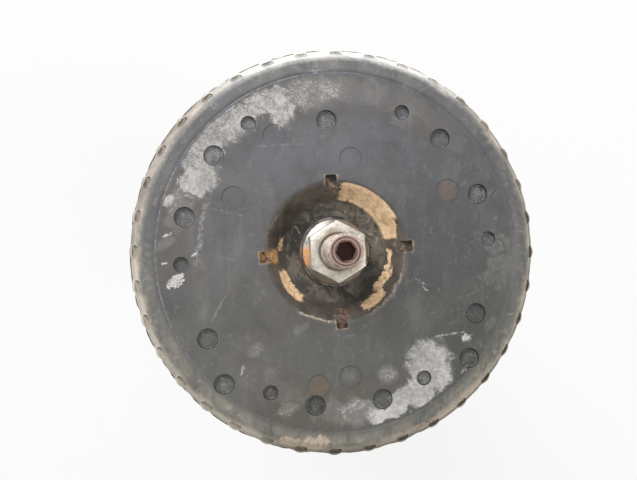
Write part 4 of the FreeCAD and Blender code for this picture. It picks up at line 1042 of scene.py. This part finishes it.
def welds():
    """Beads that hold the spring seat, the brackets and the pressed bottom to the tube."""
    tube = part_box("outer_tube")
    reach = tube[1][0] + 0.9 * MM
    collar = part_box("lower_spring_seat")[0][2]
    weld_ring("seat_weld_upper", reach, collar + SEAT_COLLAR)
    weld_ring("seat_weld_lower", reach, collar - 0.5 * MM)
    low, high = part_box("knuckle_bracket")
    weld_ring("knuckle_weld_upper", reach, high[2] + 0.5 * MM, BEAD, *KNUCKLE_ARC)
    weld_ring("knuckle_weld_lower", reach, low[2] - 0.5 * MM, BEAD, *KNUCKLE_ARC)
    for node, middle, half in (("stabiliser_bracket", 180, 32), ("hose_bracket", 0, 22)):
        low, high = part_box(node)
        for edge, height in (("upper", high[2] + 0.4 * MM), ("lower", low[2] - 0.4 * MM)):
            weld_ring("%s_weld_%s" % (node, edge), reach, height, 1.6 * MM, middle - half, middle + half)
    weld_ring("base_weld", tube[1][0] - 0.6 * MM, tube[0][2] + 2.4 * MM, 1.5 * MM)


def dress_nodes():
    """CAD pieces whose shape is right keep it and take their finish."""
    for node, piece in frame["nodes"].items():
        piece.data.materials.clear()
        piece.data.materials.append(FINISHES[slot_of[node]])


# Stage, light and camera

STUDIO_WHITE = srgb(251, 251, 251)


def flat_finish(name, colour):
    """A pale studio surface that the camera sees nearly white, with the object's shadow on it."""
    finish = Finish(name)
    finish.set(Base_Color=srgb(*colour), Roughness=0.9)
    glow = finish.node("ShaderNodeEmission", None, {"Color": STUDIO_WHITE})
    seen = finish.node("ShaderNodeLightPath", output="Is Camera Ray") * 0.8
    shaded = Value(finish, finish.shader.outputs[0])
    finish.feed(finish.surface, finish.node("ShaderNodeMixShader", None, {0: seen, 1: shaded, 2: glow}))
    return finish.material


def stage_floor():
    low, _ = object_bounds()
    bm = bmesh.new()
    bmesh.ops.create_grid(bm, x_segments=1, y_segments=1, size=6.0)
    bmesh.ops.translate(bm, vec=(0, 0, low[2] - 0.5 * MM), verts=bm.verts)
    floor = new_object("floor", to_mesh(bm, "floor"))
    floor.data.materials.append(flat_finish("studio_floor", (236, 236, 234)))


def area_light(name, place, aim, size, power, colour=(1, 1, 1)):
    lamp = bpy.data.lights.new(name, "AREA")
    lamp.size = size
    lamp.energy = power
    lamp.color = colour
    lamp.shape = "DISK"
    light = new_object(name, lamp)
    light.location = place
    light.rotation_euler = (Vector(aim) - Vector(place)).to_track_quat("-Z", "Y").to_euler()


def lights():
    area_light("window", (-0.9, 1.3, 1.2), (0, 0, -0.05), 1.2, 34, (0.97, 0.985, 1.0))
    area_light("room", (1.3, -0.6, 0.8), (0, 0, -0.2), 1.6, 9, (1.0, 0.975, 0.93))
    area_light("back", (0.3, 1.2, -0.1), (0, 0, -0.3), 1.0, 6)
    world = bpy.data.worlds.new("studio")
    bpy.context.scene.world = world
    world.use_nodes = True
    sky = world.node_tree.nodes["Background"]
    sky.inputs["Color"].default_value = STUDIO_WHITE
    sky.inputs["Strength"].default_value = 0.62
    tree = world.node_tree
    white = tree.nodes.new("ShaderNodeBackground")
    white.inputs["Color"].default_value = STUDIO_WHITE
    ray = tree.nodes.new("ShaderNodeLightPath")
    blend = tree.nodes.new("ShaderNodeMixShader")
    tree.links.new(ray.outputs["Is Camera Ray"], blend.inputs[0])
    tree.links.new(sky.outputs[0], blend.inputs[1])
    tree.links.new(white.outputs[0], blend.inputs[2])
    tree.links.new(blend.outputs[0], tree.nodes["World Output"].inputs["Surface"])


def camera():
    """Aims so that the middle of the nut's top falls on its place in the photo."""
    back = Vector((-math.tan(CAMERA_LEAN), -math.tan(CAMERA_DIP), 1)).normalized()
    right = Vector((0, 1, 0)).cross(back).normalized()
    up = back.cross(right)
    across = (NUT_PIXEL[0] - PHOTO_MIDDLE[0]) / FOCAL_PIXELS * CAMERA_DISTANCE
    down = (NUT_PIXEL[1] - PHOTO_MIDDLE[1]) / FOCAL_PIXELS * CAMERA_DISTANCE
    place = Vector((0, 0, NUT_TOP)) - right * across + up * down + back * CAMERA_DISTANCE
    lens = bpy.data.cameras.new("camera")
    lens.sensor_width = SENSOR
    lens.lens = FOCAL_PIXELS / PHOTO_WIDTH * SENSOR
    lens.clip_start = 0.01
    eye = new_object("camera", lens)
    turn = Matrix((right, up, back)).transposed().to_4x4()
    eye.matrix_world = Matrix.Translation(place) @ turn
    bpy.context.scene.camera = eye


dress_nodes()
mount_rubber()
piston_rod()
stud_thread()
softened("rod_nut", 0.3 * MM)
softened("stop_washer", 0.25 * MM)
softened("mount_core", 0.25 * MM)
for node in ("upper_spring_seat", "lower_spring_seat", "knuckle_bracket", "stabiliser_bracket", "hose_bracket",
             "tube_cap", "support_washer", "upper_isolator", "lower_isolator", "bearing_upper_race"):
    softened(node, 0.5 * MM)
coil_spring()
dust_boot()
welds()
stage_floor()
lights()
camera()

view = bpy.context.scene.view_settings
view.view_transform = "Standard"
